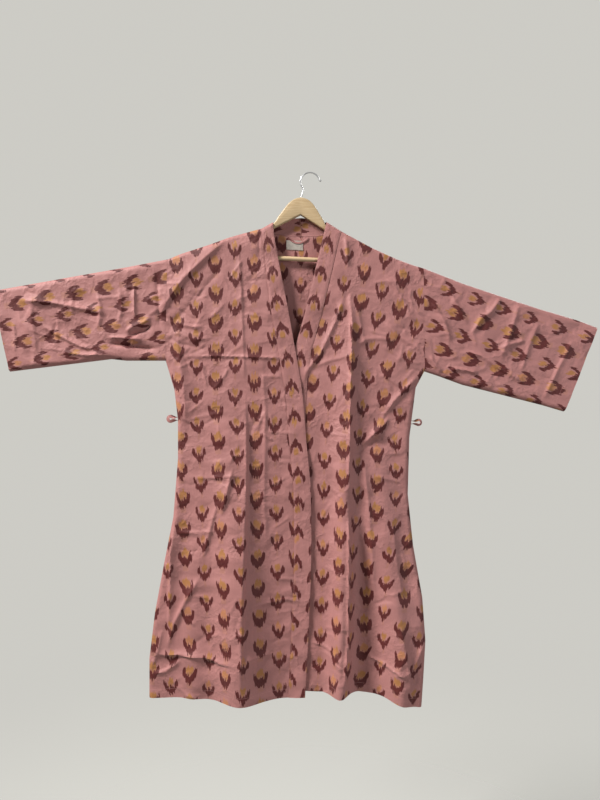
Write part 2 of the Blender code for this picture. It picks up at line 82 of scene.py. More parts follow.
# Hanger
HANGER_X = -0.023
HANGER_TOP = -0.062
HANGER_TILT = math.radians(2.7)
BAR_Z = -0.217
BAR_HALF = 0.213
HOOK_RADIUS = 0.0240
HOOK_CENTRE = (-0.0015, -0.0222)
HOOK_STEM = ((-0.0214, -0.0525), (-0.0194, -0.0445), (-0.0203, -0.0375), (-0.0236, -0.0305))
HOOK_ARC = (186.0, 12.0)

Outline = namedtuple("Outline", "x z")
Opening = namedtuple("Opening", "z free_x seam_x")
Fold = namedtuple("Fold", "top_x top_z hem_x spread top_depth hem_depth")
Arm = namedtuple("Arm", "reach top under")
Crease = namedtuple("Crease", "left right rise path")
Grain = namedtuple("Grain", "z x tilt")

# Shoulder and sleeve top, from the neck out to the cuff
TOP_LEFT = (
    Outline(-0.0950, -0.1250),
    Outline(-0.1215, -0.1400),
    Outline(-0.1735, -0.1540),
    Outline(-0.2080, -0.1640),
    Outline(-0.2575, -0.1820),
    Outline(-0.3265, -0.2045),
    Outline(-0.3590, -0.2180),
    Outline(-0.4575, -0.2370),
    Outline(-0.5850, -0.2595),
    Outline(-0.7990, -0.2975),
)
TOP_RIGHT = (
    Outline(0.0410, -0.1240),
    Outline(0.0780, -0.1475),
    Outline(0.1235, -0.1720),
    Outline(0.1590, -0.1910),
    Outline(0.2185, -0.2180),
    Outline(0.2620, -0.2340),
    Outline(0.2835, -0.2400),
    Outline(0.3830, -0.2790),
    Outline(0.4785, -0.3110),
    Outline(0.5740, -0.3425),
    Outline(0.6700, -0.3710),
    Outline(0.7210, -0.3900),
)
# Sleeve bottom, from the underarm out to the cuff
UNDER_LEFT = (
    Outline(-0.3650, UNDERARM_LEFT),
    Outline(-0.4640, -0.4730),
    Outline(-0.5020, -0.4690),
    Outline(-0.7570, -0.5005),
)
UNDER_RIGHT = (
    Outline(0.2865, UNDERARM_RIGHT),
    Outline(0.3200, -0.5110),
    Outline(0.3830, -0.5340),
    Outline(0.4470, -0.5500),
    Outline(0.5835, -0.5850),
    Outline(0.6380, -0.6010),
)
# Side seams, from the hem up to the underarm
SIDE_LEFT = (
    Outline(-0.4060, HEM),
    Outline(-0.4060, -1.2240),
    Outline(-0.3920, -1.1090),
    Outline(-0.3700, -0.9900),
    Outline(-0.3455, -0.8670),
    Outline(-0.3340, -0.7200),
    Outline(-0.3340, -0.6225),
    Outline(-0.3430, -0.5465),
    Outline(-0.3650, UNDERARM_LEFT),
)
SIDE_RIGHT = (
    Outline(0.2740, HEM - 0.010),
    Outline(0.2850, -1.1690),
    Outline(0.2790, -1.0660),
    Outline(0.2580, -0.9390),
    Outline(0.2450, -0.8095),
    Outline(0.2490, -0.6660),
    Outline(0.2650, -0.5410),
    Outline(0.2865, UNDERARM_RIGHT),
)
# Front opening: where each band's free edge and its seam lie at a height
OPENING_LEFT = (
    Opening(-1.3180, -0.0140, -0.0560),
    Opening(-1.1720, -0.0060, -0.0490),
    Opening(-1.0320, 0.0000, -0.0430),
    Opening(-0.9270, 0.0020, -0.0410),
    Opening(-0.7870, 0.0000, -0.0430),
    Opening(-0.6750, -0.0110, -0.0540),
    Opening(-0.5510, -0.0210, -0.0640),
    Opening(-0.4300, -0.0415, -0.0840),
    Opening(-0.3275, -0.0600, -0.1030),
    Opening(-0.2275, -0.0800, -0.1130),
    Opening(-0.1650, -0.0910, -0.1210),
)
OPENING_RIGHT = (
    Opening(-1.3030, -0.0550, -0.0130),
    Opening(-0.6000, -0.0550, -0.0130),
    Opening(-0.5200, -0.0500, -0.0080),
    Opening(-0.4450, -0.0400, 0.0020),
    Opening(-0.3570, -0.0150, 0.0280),
    Opening(-0.2790, 0.0035, 0.0460),
    Opening(-0.2150, 0.0190, 0.0610),
    Opening(-0.1650, 0.0310, 0.0720),
)
# Back neck: the seam, and the free edge that stands above it
NECK_SEAM = (
    Outline(-0.1215, -0.1400),
    Outline(-0.0980, -0.1510),
    Outline(-0.0600, -0.1565),
    Outline(-0.0230, -0.1580),
    Outline(0.0200, -0.1560),
    Outline(0.0560, -0.1525),
    Outline(0.0780, -0.1475),
)
NECK_FREE = (
    Outline(-0.0950, -0.1250),
    Outline(-0.0720, -0.1170),
    Outline(-0.0450, -0.1120),
    Outline(-0.0230, -0.1105),
    Outline(-0.0020, -0.1125),
    Outline(0.0200, -0.1170),
    Outline(0.0410, -0.1240),
)
HEM_LEFT = (
    Outline(-0.4060, HEM),
    Outline(-0.3170, -1.3160),
    Outline(-0.2200, -1.3200),
    Outline(-0.1600, -1.3220),
    Outline(-0.0560, -1.3180),
)
HEM_RIGHT = (
    Outline(0.2740, HEM - 0.010),
    Outline(0.2300, -1.3230),
    Outline(0.1800, -1.3090),
    Outline(0.1200, -1.3020),
    Outline(0.0700, -1.3070),
    Outline(-0.0130, -1.3030),
)
HEM_BACK = (
    Outline(-0.4060, HEM),
    Outline(-0.2500, HEM + BACK_HEM_RISE),
    Outline(0.1500, HEM + BACK_HEM_RISE),
    Outline(0.2740, HEM - 0.010),
)
# Ridges of the front, towards the viewer
FRONT_FOLDS = (
    Fold(-0.215, -0.420, -0.174, 0.058, 0.002, 0.046),
    Fold(-0.275, -0.560, -0.292, 0.030, 0.000, 0.012),
    Fold(0.100, -0.300, 0.071, 0.024, 0.005, 0.040),
    Fold(0.150, -0.520, 0.230, 0.042, 0.000, 0.030),
)
# Ridges of the back, away from the viewer
BACK_FOLDS = (
    Fold(-0.250, -0.450, -0.270, 0.050, 0.000, 0.013),
    Fold(-0.060, -0.300, -0.065, 0.055, 0.000, 0.010),
    Fold(0.130, -0.450, 0.160, 0.045, 0.000, 0.014),
)
# Hanger arm: how far out, its top edge and its underside
ARM = (
    Arm(0.000, -0.0620, -0.1060),
    Arm(0.016, -0.0665, -0.1150),
    Arm(0.030, -0.0770, -0.1230),
    Arm(0.041, -0.0910, -0.1290),
    Arm(0.049, -0.1030, -0.1340),
    Arm(0.057, -0.1145, -0.1385),
    Arm(0.063, -0.1258, -0.1420),
    Arm(0.072, -0.1346, -0.1470),
    Arm(0.082, -0.1399, -0.1526),
    Arm(0.092, -0.1460, -0.1580),
    Arm(0.100, -0.1494, -0.1625),
    Arm(0.148, -0.1654, -0.1870),
    Arm(0.186, -0.1838, -0.2070),
    Arm(0.200, -0.1894, -0.2260),
    Arm(0.216, -0.1957, -0.2330),
    Arm(0.222, -0.2020, -0.2290),
)

# Creases: a line over the cloth, how far it spreads to its left and right, and its rise
LEFT_FRONT_CREASES = [
    Crease(0.008, 0.026, 0.0036, ((-0.205, -0.165), (-0.262, -0.215), (-0.318, -0.268), (-0.362, -0.330), (-0.385, -0.380))),
    Crease(0.016, 0.012, -0.0018, ((-0.205, -0.205), (-0.240, -0.262), (-0.292, -0.322), (-0.340, -0.375), (-0.372, -0.425))),
    Crease(0.022, 0.012, 0.0034, ((-0.352, -0.400), (-0.330, -0.455), (-0.318, -0.530), (-0.312, -0.640))),
    Crease(0.007, 0.004, 0.0022, ((-0.345, -0.372), (-0.322, -0.384), (-0.294, -0.390), (-0.262, -0.388))),
    Crease(0.006, 0.005, 0.0018, ((-0.352, -0.398), (-0.318, -0.412), (-0.286, -0.420), (-0.246, -0.418))),
    Crease(0.005, 0.006, -0.0018, ((-0.360, -0.412), (-0.330, -0.430), (-0.294, -0.438), (-0.262, -0.448))),
    Crease(0.004, 0.004, 0.0024, ((-0.327, -0.465), (-0.239, -0.462), (-0.152, -0.465), (-0.042, -0.468))),
    Crease(0.004, 0.018, 0.0019, ((-0.182, -0.165), (-0.174, -0.298), (-0.169, -0.422), (-0.164, -0.548))),
    Crease(
        0.004, 0.022, 0.0046,
        ((-0.164, -0.542), (-0.159, -0.722), (-0.162, -0.872),
         (-0.167, -1.072), (-0.172, -1.322)),
    ),
    Crease(0.004, 0.004, 0.0015, ((-0.157, -0.330), (-0.144, -0.345), (-0.127, -0.362))),
    Crease(0.004, 0.004, -0.0010, ((-0.129, -0.142), (-0.129, -0.198), (-0.129, -0.248))),
    Crease(0.004, 0.004, 0.0012, ((-0.322, -0.368), (-0.297, -0.388), (-0.269, -0.400))),
    Crease(0.004, 0.004, 0.0012, ((-0.327, -0.398), (-0.299, -0.410), (-0.267, -0.412))),
    Crease(0.004, 0.004, -0.0012, ((-0.332, -0.342), (-0.302, -0.365), (-0.277, -0.372))),
    Crease(0.008, 0.004, 0.0018, ((-0.309, -0.768), (-0.254, -0.768), (-0.197, -0.762), (-0.157, -0.760))),
    Crease(0.005, 0.014, 0.0040, ((-0.192, -0.738), (-0.204, -0.788), (-0.212, -0.822), (-0.222, -0.862))),
    Crease(0.006, 0.010, 0.0030, ((-0.229, -0.822), (-0.244, -0.872), (-0.257, -0.925), (-0.269, -0.972))),
    Crease(0.006, 0.004, 0.0018, ((-0.342, -0.905), (-0.307, -0.905), (-0.267, -0.902), (-0.232, -0.898))),
    Crease(0.010, 0.008, 0.0040, ((-0.272, -1.005), (-0.317, -1.082), (-0.344, -1.138), (-0.359, -1.198))),
    Crease(
        0.014, 0.004, 0.0045,
        ((-0.404, -1.210), (-0.327, -1.208), (-0.267, -1.210),
         (-0.227, -1.222), (-0.174, -1.222)),
    ),
    Crease(0.010, 0.004, 0.0030, ((-0.174, -1.222), (-0.152, -1.212), (-0.094, -1.205))),
    Crease(0.004, 0.010, 0.0035, ((-0.399, -1.258), (-0.362, -1.250), (-0.342, -1.235), (-0.324, -1.220))),
    Crease(0.006, 0.006, 0.0020, ((-0.337, -1.282), (-0.312, -1.308), (-0.282, -1.315))),
    Crease(0.006, 0.006, 0.0025, ((-0.372, -1.142), (-0.382, -1.198), (-0.402, -1.252))),
    Crease(0.020, 0.005, 0.0050, ((-0.347, -0.698), (-0.349, -0.922), (-0.352, -1.072), (-0.357, -1.172))),
    Crease(0.004, 0.004, 0.0015, ((-0.122, -0.655), (-0.109, -0.665), (-0.092, -0.675))),
    Crease(0.004, 0.004, 0.0016, ((-0.152, -1.085), (-0.102, -1.078), (-0.062, -1.072), (-0.009, -1.078))),
    Crease(0.004, 0.004, 0.0014, ((-0.094, -1.018), (-0.052, -1.022), (-0.009, -1.032))),
    Crease(0.007, 0.005, 0.0012, ((-0.312, -0.622), (-0.262, -0.612), (-0.207, -0.602))),
    Crease(0.009, 0.012, 0.0020, ((-0.122, -0.448), (-0.112, -0.622), (-0.117, -0.822), (-0.107, -0.972))),
]
RIGHT_FRONT_CREASES = [
    Crease(0.010, 0.005, 0.0030, ((0.086, -0.160), (0.091, -0.198), (0.093, -0.242))),
    Crease(
        0.016, 0.005, 0.0065,
        ((0.103, -0.278), (0.098, -0.320), (0.103, -0.375), (0.101, -0.460),
         (0.098, -0.548), (0.096, -0.672), (0.093, -0.822)),
    ),
    Crease(0.018, 0.005, 0.0080, ((0.093, -0.822), (0.093, -0.972), (0.091, -1.172), (0.076, -1.328))),
    Crease(
        0.005, 0.008, 0.0030,
        ((0.088, -0.302), (0.063, -0.375), (0.023, -0.460),
         (-0.009, -0.500), (-0.022, -0.542)),
    ),
    Crease(0.006, 0.005, 0.0018, ((0.108, -0.440), (0.141, -0.420), (0.173, -0.418), (0.213, -0.425))),
    Crease(0.006, 0.004, 0.0018, ((0.008, -0.490), (0.043, -0.475), (0.086, -0.465), (0.128, -0.460))),
    Crease(0.006, 0.006, 0.0022, ((0.181, -0.370), (0.218, -0.412), (0.268, -0.442), (0.308, -0.480))),
    Crease(0.008, 0.006, 0.0022, ((0.181, -0.260), (0.211, -0.290), (0.236, -0.332), (0.261, -0.382))),
    Crease(
        0.005, 0.010, 0.0040,
        ((0.268, -0.510), (0.251, -0.532), (0.223, -0.560),
         (0.206, -0.578), (0.186, -0.610)),
    ),
    Crease(0.004, 0.008, 0.0035, ((0.201, -0.610), (0.181, -0.638), (0.156, -0.660), (0.126, -0.690))),
    Crease(0.005, 0.007, 0.0020, ((0.193, -0.595), (0.183, -0.612), (0.171, -0.645), (0.148, -0.668))),
    Crease(0.004, 0.004, 0.0015, ((0.158, -0.762), (0.183, -0.768), (0.226, -0.778))),
    Crease(0.016, 0.018, 0.0045, ((0.128, -0.688), (0.143, -0.822), (0.153, -0.972), (0.158, -1.098))),
    Crease(
        0.010, 0.003, 0.0040,
        ((0.133, -1.205), (0.173, -1.225), (0.198, -1.235),
         (0.226, -1.248), (0.246, -1.250)),
    ),
    Crease(0.004, 0.008, 0.0030, ((0.231, -1.248), (0.253, -1.228), (0.268, -1.198), (0.278, -1.175))),
    Crease(0.007, 0.003, 0.0026, ((-0.002, -1.178), (0.031, -1.188), (0.056, -1.200), (0.083, -1.230))),
    Crease(0.004, 0.004, 0.0016, ((0.031, -1.198), (0.053, -1.215), (0.078, -1.240))),
    Crease(0.004, 0.004, 0.0015, ((0.013, -0.995), (0.046, -1.050), (0.071, -1.100))),
    Crease(0.004, 0.004, 0.0015, ((0.093, -1.048), (0.108, -1.072), (0.123, -1.100))),
    Crease(0.010, 0.010, 0.0030, ((0.218, -1.122), (0.233, -1.198), (0.248, -1.298))),
    Crease(0.012, 0.012, 0.0025, ((0.203, -0.872), (0.213, -0.972), (0.228, -1.072))),
    Crease(0.005, 0.005, 0.0014, ((0.113, -0.522), (0.133, -0.578), (0.153, -0.622))),
    Crease(0.008, 0.008, 0.0018, ((0.113, -0.322), (0.128, -0.398), (0.138, -0.448))),
    Crease(0.004, 0.004, 0.0012, ((0.103, -0.618), (0.128, -0.610), (0.158, -0.605))),
]
LEFT_SLEEVE_CREASES = [
    Crease(0.009, 0.009, 0.0045, ((-0.736, -0.322), (-0.642, -0.330), (-0.564, -0.345), (-0.507, -0.355))),
    Crease(0.005, 0.005, 0.0033, ((-0.442, -0.282), (-0.442, -0.348), (-0.437, -0.368))),
    Crease(0.006, 0.006, -0.0053, ((-0.459, -0.420), (-0.447, -0.408), (-0.417, -0.398), (-0.397, -0.382))),
    Crease(0.006, 0.006, 0.0037, ((-0.467, -0.405), (-0.447, -0.390), (-0.417, -0.378), (-0.397, -0.362))),
    Crease(0.007, 0.007, -0.0053, ((-0.516, -0.430), (-0.462, -0.435), (-0.417, -0.442), (-0.382, -0.442))),
    Crease(0.006, 0.006, 0.0037, ((-0.512, -0.415), (-0.462, -0.418), (-0.412, -0.422))),
    Crease(
        0.007, 0.004, 0.0036,
        ((-0.676, -0.382), (-0.642, -0.405), (-0.609, -0.422),
         (-0.576, -0.438), (-0.536, -0.448)),
    ),
    Crease(0.003, 0.004, 0.0018, ((-0.746, -0.372), (-0.740, -0.412), (-0.740, -0.458))),
    Crease(0.006, 0.006, 0.0018, ((-0.706, -0.322), (-0.692, -0.398), (-0.686, -0.478))),
    Crease(0.007, 0.007, 0.0027, ((-0.536, -0.298), (-0.526, -0.348), (-0.532, -0.402))),
    Crease(0.006, 0.006, 0.0023, ((-0.482, -0.285), (-0.472, -0.335), (-0.482, -0.388))),
    Crease(0.005, 0.005, 0.0030, ((-0.626, -0.452), (-0.566, -0.460), (-0.502, -0.458))),
    Crease(0.006, 0.006, -0.0023, ((-0.387, -0.248), (-0.382, -0.322), (-0.377, -0.398))),
]
RIGHT_SLEEVE_CREASES = [
    Crease(0.012, 0.003, 0.0027, ((0.661, -0.415), (0.618, -0.495), (0.581, -0.575))),
    Crease(0.006, 0.007, 0.0039, ((0.481, -0.312), (0.451, -0.352), (0.426, -0.370), (0.403, -0.410))),
    Crease(0.005, 0.005, 0.0030, ((0.473, -0.442), (0.511, -0.430), (0.541, -0.422))),
    Crease(0.005, 0.005, 0.0037, ((0.298, -0.460), (0.313, -0.485), (0.331, -0.505))),
    Crease(0.005, 0.005, 0.0037, ((0.343, -0.498), (0.368, -0.495), (0.396, -0.500), (0.423, -0.505))),
    Crease(0.009, 0.009, 0.0037, ((0.303, -0.322), (0.336, -0.378), (0.353, -0.435))),
    Crease(0.008, 0.008, 0.0030, ((0.338, -0.278), (0.368, -0.338), (0.398, -0.388))),
    Crease(0.009, 0.009, 0.0027, ((0.524, -0.322), (0.503, -0.398), (0.473, -0.478))),
    Crease(0.008, 0.008, 0.0024, ((0.574, -0.368), (0.548, -0.435), (0.524, -0.510))),
    Crease(0.007, 0.007, 0.0033, ((0.373, -0.448), (0.428, -0.462), (0.488, -0.502), (0.548, -0.538))),
]
BACK_CREASES = [
    Crease(0.014, 0.008, 0.0040, ((0.235, -0.262), (0.180, -0.330), (0.215, -0.430))),
    Crease(0.010, 0.014, 0.0035, ((-0.315, -0.250), (-0.262, -0.330), (-0.300, -0.420))),
    Crease(0.006, 0.006, 0.0018, ((-0.320, -0.470), (-0.120, -0.464), (0.080, -0.472), (0.240, -0.468))),
    Crease(0.006, 0.005, 0.0018, ((-0.320, -0.768), (-0.100, -0.764), (0.090, -0.770), (0.230, -0.766))),
    Crease(0.008, 0.005, 0.0026, ((-0.380, -1.212), (-0.160, -1.206), (0.060, -1.214), (0.262, -1.205))),
    Crease(0.012, 0.006, 0.0045, ((-0.062, -0.300), (-0.060, -0.560), (-0.067, -0.860), (-0.064, -1.290))),
    Crease(0.008, 0.014, 0.0035, ((0.128, -0.420), (0.140, -0.700), (0.155, -0.980), (0.160, -1.290))),
    Crease(0.014, 0.007, 0.0035, ((-0.238, -0.430), (-0.252, -0.700), (-0.262, -1.000), (-0.270, -1.300))),
    Crease(0.006, 0.009, 0.0024, ((-0.180, -0.520), (-0.120, -0.640), (-0.150, -0.720))),
    Crease(0.006, 0.008, 0.0022, ((0.020, -0.380), (0.075, -0.460), (0.060, -0.560))),
]
# Where the print's middle column runs down each front, and how far its rows tip
LEFT_GRAIN = (
    Grain(-1.320, -0.0770, 0.03),
    Grain(-0.930, -0.0850, 0.00),
    Grain(-0.572, -0.0915, 0.00),
    Grain(-0.140, -0.0930, 0.00),
)
RIGHT_GRAIN = (
    Grain(-1.320, 0.0130, -0.06),
    Grain(-1.218, 0.0235, 0.00),
    Grain(-0.938, 0.0310, 0.08),
    Grain(-0.722, 0.0350, 0.15),
    Grain(-0.582, 0.0460, 0.20),
    Grain(-0.428, 0.0670, 0.20),
    Grain(-0.210, 0.0910, 0.12),
)
BACK_GRAIN = (
    Grain(-1.320, -0.0400, 0.00),
    Grain(-0.140, -0.0230, 0.00),
)
LEFT_PRINT_PHASE = 0.19325
RIGHT_PRINT_PHASE = 0.5755
LEFT_SLEEVE_PRINT = (0.005, 0.2040)
RIGHT_SLEEVE_PRINT = (-0.034, 0.2224)
COLUMN = 0.0490
ROW = 0.0735

GRID = 0.0031
BACK_GRID = 0.0042
SLEEVE_GRID = 0.0034
CREASE_DEPTH = 1.7
CREST = 0.0012
HEM_TURN = 0.022
CUFF_TURN = 0.030


def smooth(value):
    """0 to 1 with level ends."""
    share = np.clip(value, 0.0, 1.0)
    return share * share * (3.0 - 2.0 * share)


def along(line, share):
    """Points at shares of the length of a line of rows that hold x and z."""
    points = np.array([(row.x, row.z) for row in line])
    lengths = np.hypot(*np.diff(points, axis=0).T)
    places = np.concatenate([[0.0], np.cumsum(lengths)]) / lengths.sum()
    found = [np.interp(share, places, points[:, axis]) for axis in (0, 1)]
    return np.stack(found, axis=-1)


CLOSED_EDGES = (TOP_LEFT, TOP_RIGHT, UNDER_LEFT, UNDER_RIGHT, SIDE_LEFT, SIDE_RIGHT)


def line_field(x, z, path):
    """Distance to a line of points, positive on its left, and the run along it in metres."""
    nearest = np.full(x.shape, np.inf)
    side = np.ones(x.shape)
    run = np.zeros(x.shape)
    gone = 0.0
    for (x0, z0), (x1, z1) in zip(path, path[1:]):
        length = math.hypot(x1 - x0, z1 - z0)
        dx, dz = (x1 - x0) / length, (z1 - z0) / length
        forward = np.clip((x - x0) * dx + (z - z0) * dz, 0.0, length)
        off_x, off_z = x - x0 - forward * dx, z - z0 - forward * dz
        distance = np.hypot(off_x, off_z)
        closer = distance < nearest
        nearest = np.where(closer, distance, nearest)
        side = np.where(closer, np.where(dx * off_z - dz * off_x >= 0.0, 1.0, -1.0), side)
        run = np.where(closer, gone + forward, run)
        gone += length
    return nearest * side, run, gone


def edge_distance(x, z):
    """How far places lie from where front and back close on each other."""
    fields = [line_field(x, z, [(row.x, row.z) for row in line])[0] for line in CLOSED_EDGES]
    return np.min(np.abs(fields), axis=0)


def closing(distance):
    """A round shoulder: 0 at a closed edge, 1 past EDGE_REACH."""
    share = 1.0 - np.minimum(distance, EDGE_REACH) / EDGE_REACH
    return np.sqrt(1.0 - share * share)


def fold_height(folds, x, z):
    total = np.zeros(x.shape)
    for fold in folds:
        share = (fold.top_z - z) / (fold.top_z - HEM)
        ridge_x = fold.top_x + (fold.hem_x - fold.top_x) * share
        depth = fold.top_depth * smooth(share * 5.0)
        depth = depth + (fold.hem_depth - fold.top_depth) * smooth(share)
        height = depth * np.exp(-(((x - ridge_x) / fold.spread) ** 2))
        total += np.where(share > 0.0, height, 0.0)
    return total


def lean(x, z):
    """The right side swings forward towards its hem."""
    return -SIDE_LEAN * smooth((x - LEAN_FROM_X) / 0.12) * smooth((LEAN_FROM_Z - z) / 0.45)


def crease_height(creases, x, z):
    """Ridges and troughs along lines, sharp at their crest and fading out at both ends."""
    total = np.zeros(x.shape)
    for crease in creases:
        reach = 4.5 * max(crease.left, crease.right)
        low, high = np.min(crease.path, axis=0) - reach, np.max(crease.path, axis=0) + reach
        near = (x > low[0]) & (x < high[0]) & (z > low[1]) & (z < high[1])
        if not near.any():
            continue
        offset, run, length = line_field(x[near], z[near], crease.path)
        width = np.where(offset > 0.0, crease.left, crease.right)
        ends = smooth(run / (0.22 * length)) * smooth((length - run) / (0.22 * length))
        away = np.sqrt(offset * offset + CREST * CREST) - CREST
        fade = np.exp(-away / (0.62 * width)) * smooth((reach - away) / (0.4 * reach))
        total[near] += CREASE_DEPTH * crease.rise * ends * fade
    return total


def small_creases(seed, count, low, high):
    """Short uneven creases, as cloth takes in a drawer."""
    chance = np.random.default_rng(seed)
    found = []
    for _ in range(count):
        start = chance.uniform(low, high)
        heading = chance.normal(0.0, 0.6) + (math.pi / 2 if chance.random() < 0.35 else 0.0)
        path = [tuple(start)]
        for _ in range(3):
            heading += chance.normal(0.0, 0.20)
            step = chance.uniform(0.010, 0.030)
            last = path[-1]
            path.append((last[0] + step * math.cos(heading), last[1] + step * math.sin(heading)))
        width = chance.uniform(0.0022, 0.0050)
        rise = chance.uniform(0.15, 1.0) ** 1.5 * 0.0014 * chance.choice((-0.7, 1.0))
        found.append(Crease(width, width * chance.uniform(0.5, 1.2), rise, tuple(path)))
    return found


def crumple(seed, x, z):
    """Low facets with soft-edged ridges between them, and a broad swell."""
    chance = np.random.default_rng(seed)
    total = np.zeros(x.shape)
    for _ in range(18):
        angle = chance.uniform(0.0, math.pi)
        length = chance.uniform(0.030, 0.105)
        across = x * math.cos(angle) + z * math.sin(angle)
        down = z * math.cos(angle) - x * math.sin(angle)
        bend = 0.30 * length * np.sin(down * chance.uniform(12.0, 30.0) + chance.uniform(0.0, 6.3))
        shows = 0.45 + np.sin(down * chance.uniform(14.0, 32.0) + chance.uniform(0.0, 6.3)) * np.sin(
            across * chance.uniform(6.0, 20.0) + chance.uniform(0.0, 6.3)
        )
        wave = np.sin(math.pi * (across + bend) / length + chance.uniform(0.0, 6.3))
        ridge = 1.0 - np.sqrt(wave * wave + 0.001)
        rise = chance.uniform(0.25, 0.62) * length * 0.024 * chance.choice((-1.0, 1.0))
        total += rise * smooth(shows) * ridge
    for _ in range(8):
        angle = chance.uniform(0.0, math.pi)
        wave = 2.0 * math.pi / chance.uniform(0.080, 0.200)
        turned = x * math.cos(angle) + z * math.sin(angle) + 0.012 * np.sin(0.37 * wave * (x - z))
        total += chance.uniform(0.00012, 0.00040) * np.sin(wave * turned + chance.uniform(0.0, 6.3))
    return total


def hand_creases(creases, seed, x, z):
    """All that lies on the main form of one piece of cloth, held off the hanger and the closed edges."""
    height = crease_height(creases, x, z) + crumple(seed, x, z)
    near_hanger = smooth((-0.235 - z) / 0.030)
    height = np.maximum(height, 0.0) + np.minimum(height, 0.0) * (0.15 + 0.85 * near_hanger)
    return height * smooth(edge_distance(x, z) / 0.014)


def relief(creases, seed, *areas):
    """All creases of one side of the robe, shared by the pieces that meet there."""
    found = list(creases)
    for index, (count, low, high) in enumerate(areas):
        found += small_creases(seed + index, count, low, high)
    return found, seed


LEFT_RELIEF = relief(
    LEFT_FRONT_CREASES + LEFT_SLEEVE_CREASES,
    31,
    (190, (-0.37, -1.30), (-0.06, -0.26)),
    (90, (-0.76, -0.47), (-0.37, -0.28)),
    (50, (-0.40, -0.50), (-0.28, -0.26)),
)
RIGHT_RELIEF = relief(
    RIGHT_FRONT_CREASES + RIGHT_SLEEVE_CREASES,
    61,
    (170, (0.00, -1.30), (0.25, -0.28)),
    (90, (0.30, -0.56), (0.68, -0.30)),
    (50, (0.20, -0.56), (0.33, -0.28)),
)
BACK_RELIEF = relief(
    BACK_CREASES,
    91,
    (230, (-0.38, -1.30), (0.26, -0.26)),
    (60, (-0.76, -0.47), (-0.37, -0.28)),
    (60, (0.30, -0.56), (0.68, -0.30)),
)


def front_y(x, z, creases=(), seed=1):
    reach = edge_distance(x, z)
    folds = fold_height(FRONT_FOLDS, x, z) * smooth(reach / FOLD_FADE)
    return lean(x, z) - HALF_DEPTH * closing(reach) - folds - hand_creases(creases, seed, x, z)


def lapped_y(x, z, creases=(), seed=1):
    """The right front, which passes under the left one."""
    under = smooth((LAP_EDGE - x) / LAP_SPREAD) * smooth((LAP_FROM_Z - z) / LAP_RUN)
    return front_y(x, z, creases, seed) + LAP_STEP * under


def back_y(x, z, creases=(), seed=2):
    reach = edge_distance(x, z)
    folds = fold_height(BACK_FOLDS, x, z) * smooth(reach / FOLD_FADE)
    return lean(x, z) + HALF_DEPTH * closing(reach) + folds + hand_creases(creases, seed, x, z)


def armhole_top(top):
    return top[6]


def outer_line(side, top):
    """Side seam and armhole as one line, hem to shoulder end."""
    return tuple(side) + (armhole_top(top),)


def shoulder_line(top):
    """Armhole to the band's seam at the neck."""
    return tuple(reversed(top[1:7]))


def length_of(line):
    points = np.array([(row.x, row.z) for row in line])
    return np.hypot(*np.diff(points, axis=0).T).sum()


def underarm_share(side, top):
    return length_of(side) / length_of(outer_line(side, top))


def opening_lines(opening, top):
    """The free edge and the seam of one front's band, hem to neck."""
    free = tuple(Outline(row.free_x, row.z) for row in opening) + (top[0],)
    seam = tuple(Outline(row.seam_x, row.z) for row in opening) + (top[1],)
    return free, seam


def patch(bottom, top, outer, inner, across, up):
    """Places of a panel between four edges, as arrays over a grid of shares."""
    corners = (
        (1 - across) * (1 - up) * bottom(np.zeros(across.shape[:2]))
        + across * (1 - up) * bottom(np.ones(across.shape[:2]))
        + (1 - across) * up * top(np.zeros(across.shape[:2]))
        + across * up * top(np.ones(across.shape[:2]))
    )
    upright = (1 - up) * bottom(across[..., 0]) + up * top(across[..., 0])
    return upright + (1 - across) * outer + across * inner - corners


def close_shares(count, start=True, end=True):
    """Even shares with finer steps where a panel closes on its neighbour."""
    shares = set(np.linspace(0.0, 1.0, count + 1))
    for step in (0.0035, 0.008, 0.014):
        if start:
            shares.add(step)
        if end:
            shares.add(1.0 - step)
    return np.array(sorted(shares))


def arc_excess(x, y, home):
    """How much longer than its width the cloth runs along each row, from column home."""
    across, deep = np.diff(x, axis=1), np.diff(y, axis=1)
    extra = np.hypot(across, deep) - np.abs(across)
    run = np.concatenate([np.zeros((x.shape[0], 1)), np.cumsum(extra, axis=1)], axis=1)
    run *= np.sign(x[:, -1:] - x[:, :1])
    return run - np.take_along_axis(run, np.broadcast_to(home, (x.shape[0], 1)), axis=1)


def print_uv(x, y, z, grain, phase):
    """Metres across and up the printed cloth, from the grain's line."""
    heights = [row.z for row in grain]
    middle = np.interp(z, heights, [row.x for row in grain])
    tilt = np.interp(z, heights, [row.tilt for row in grain])
    home = np.argmin(np.abs(x - middle), axis=1)[:, None]
    u = x - middle + arc_excess(x, y, home)
    return np.stack([u, z + tilt * (x - middle) + phase], axis=-1)


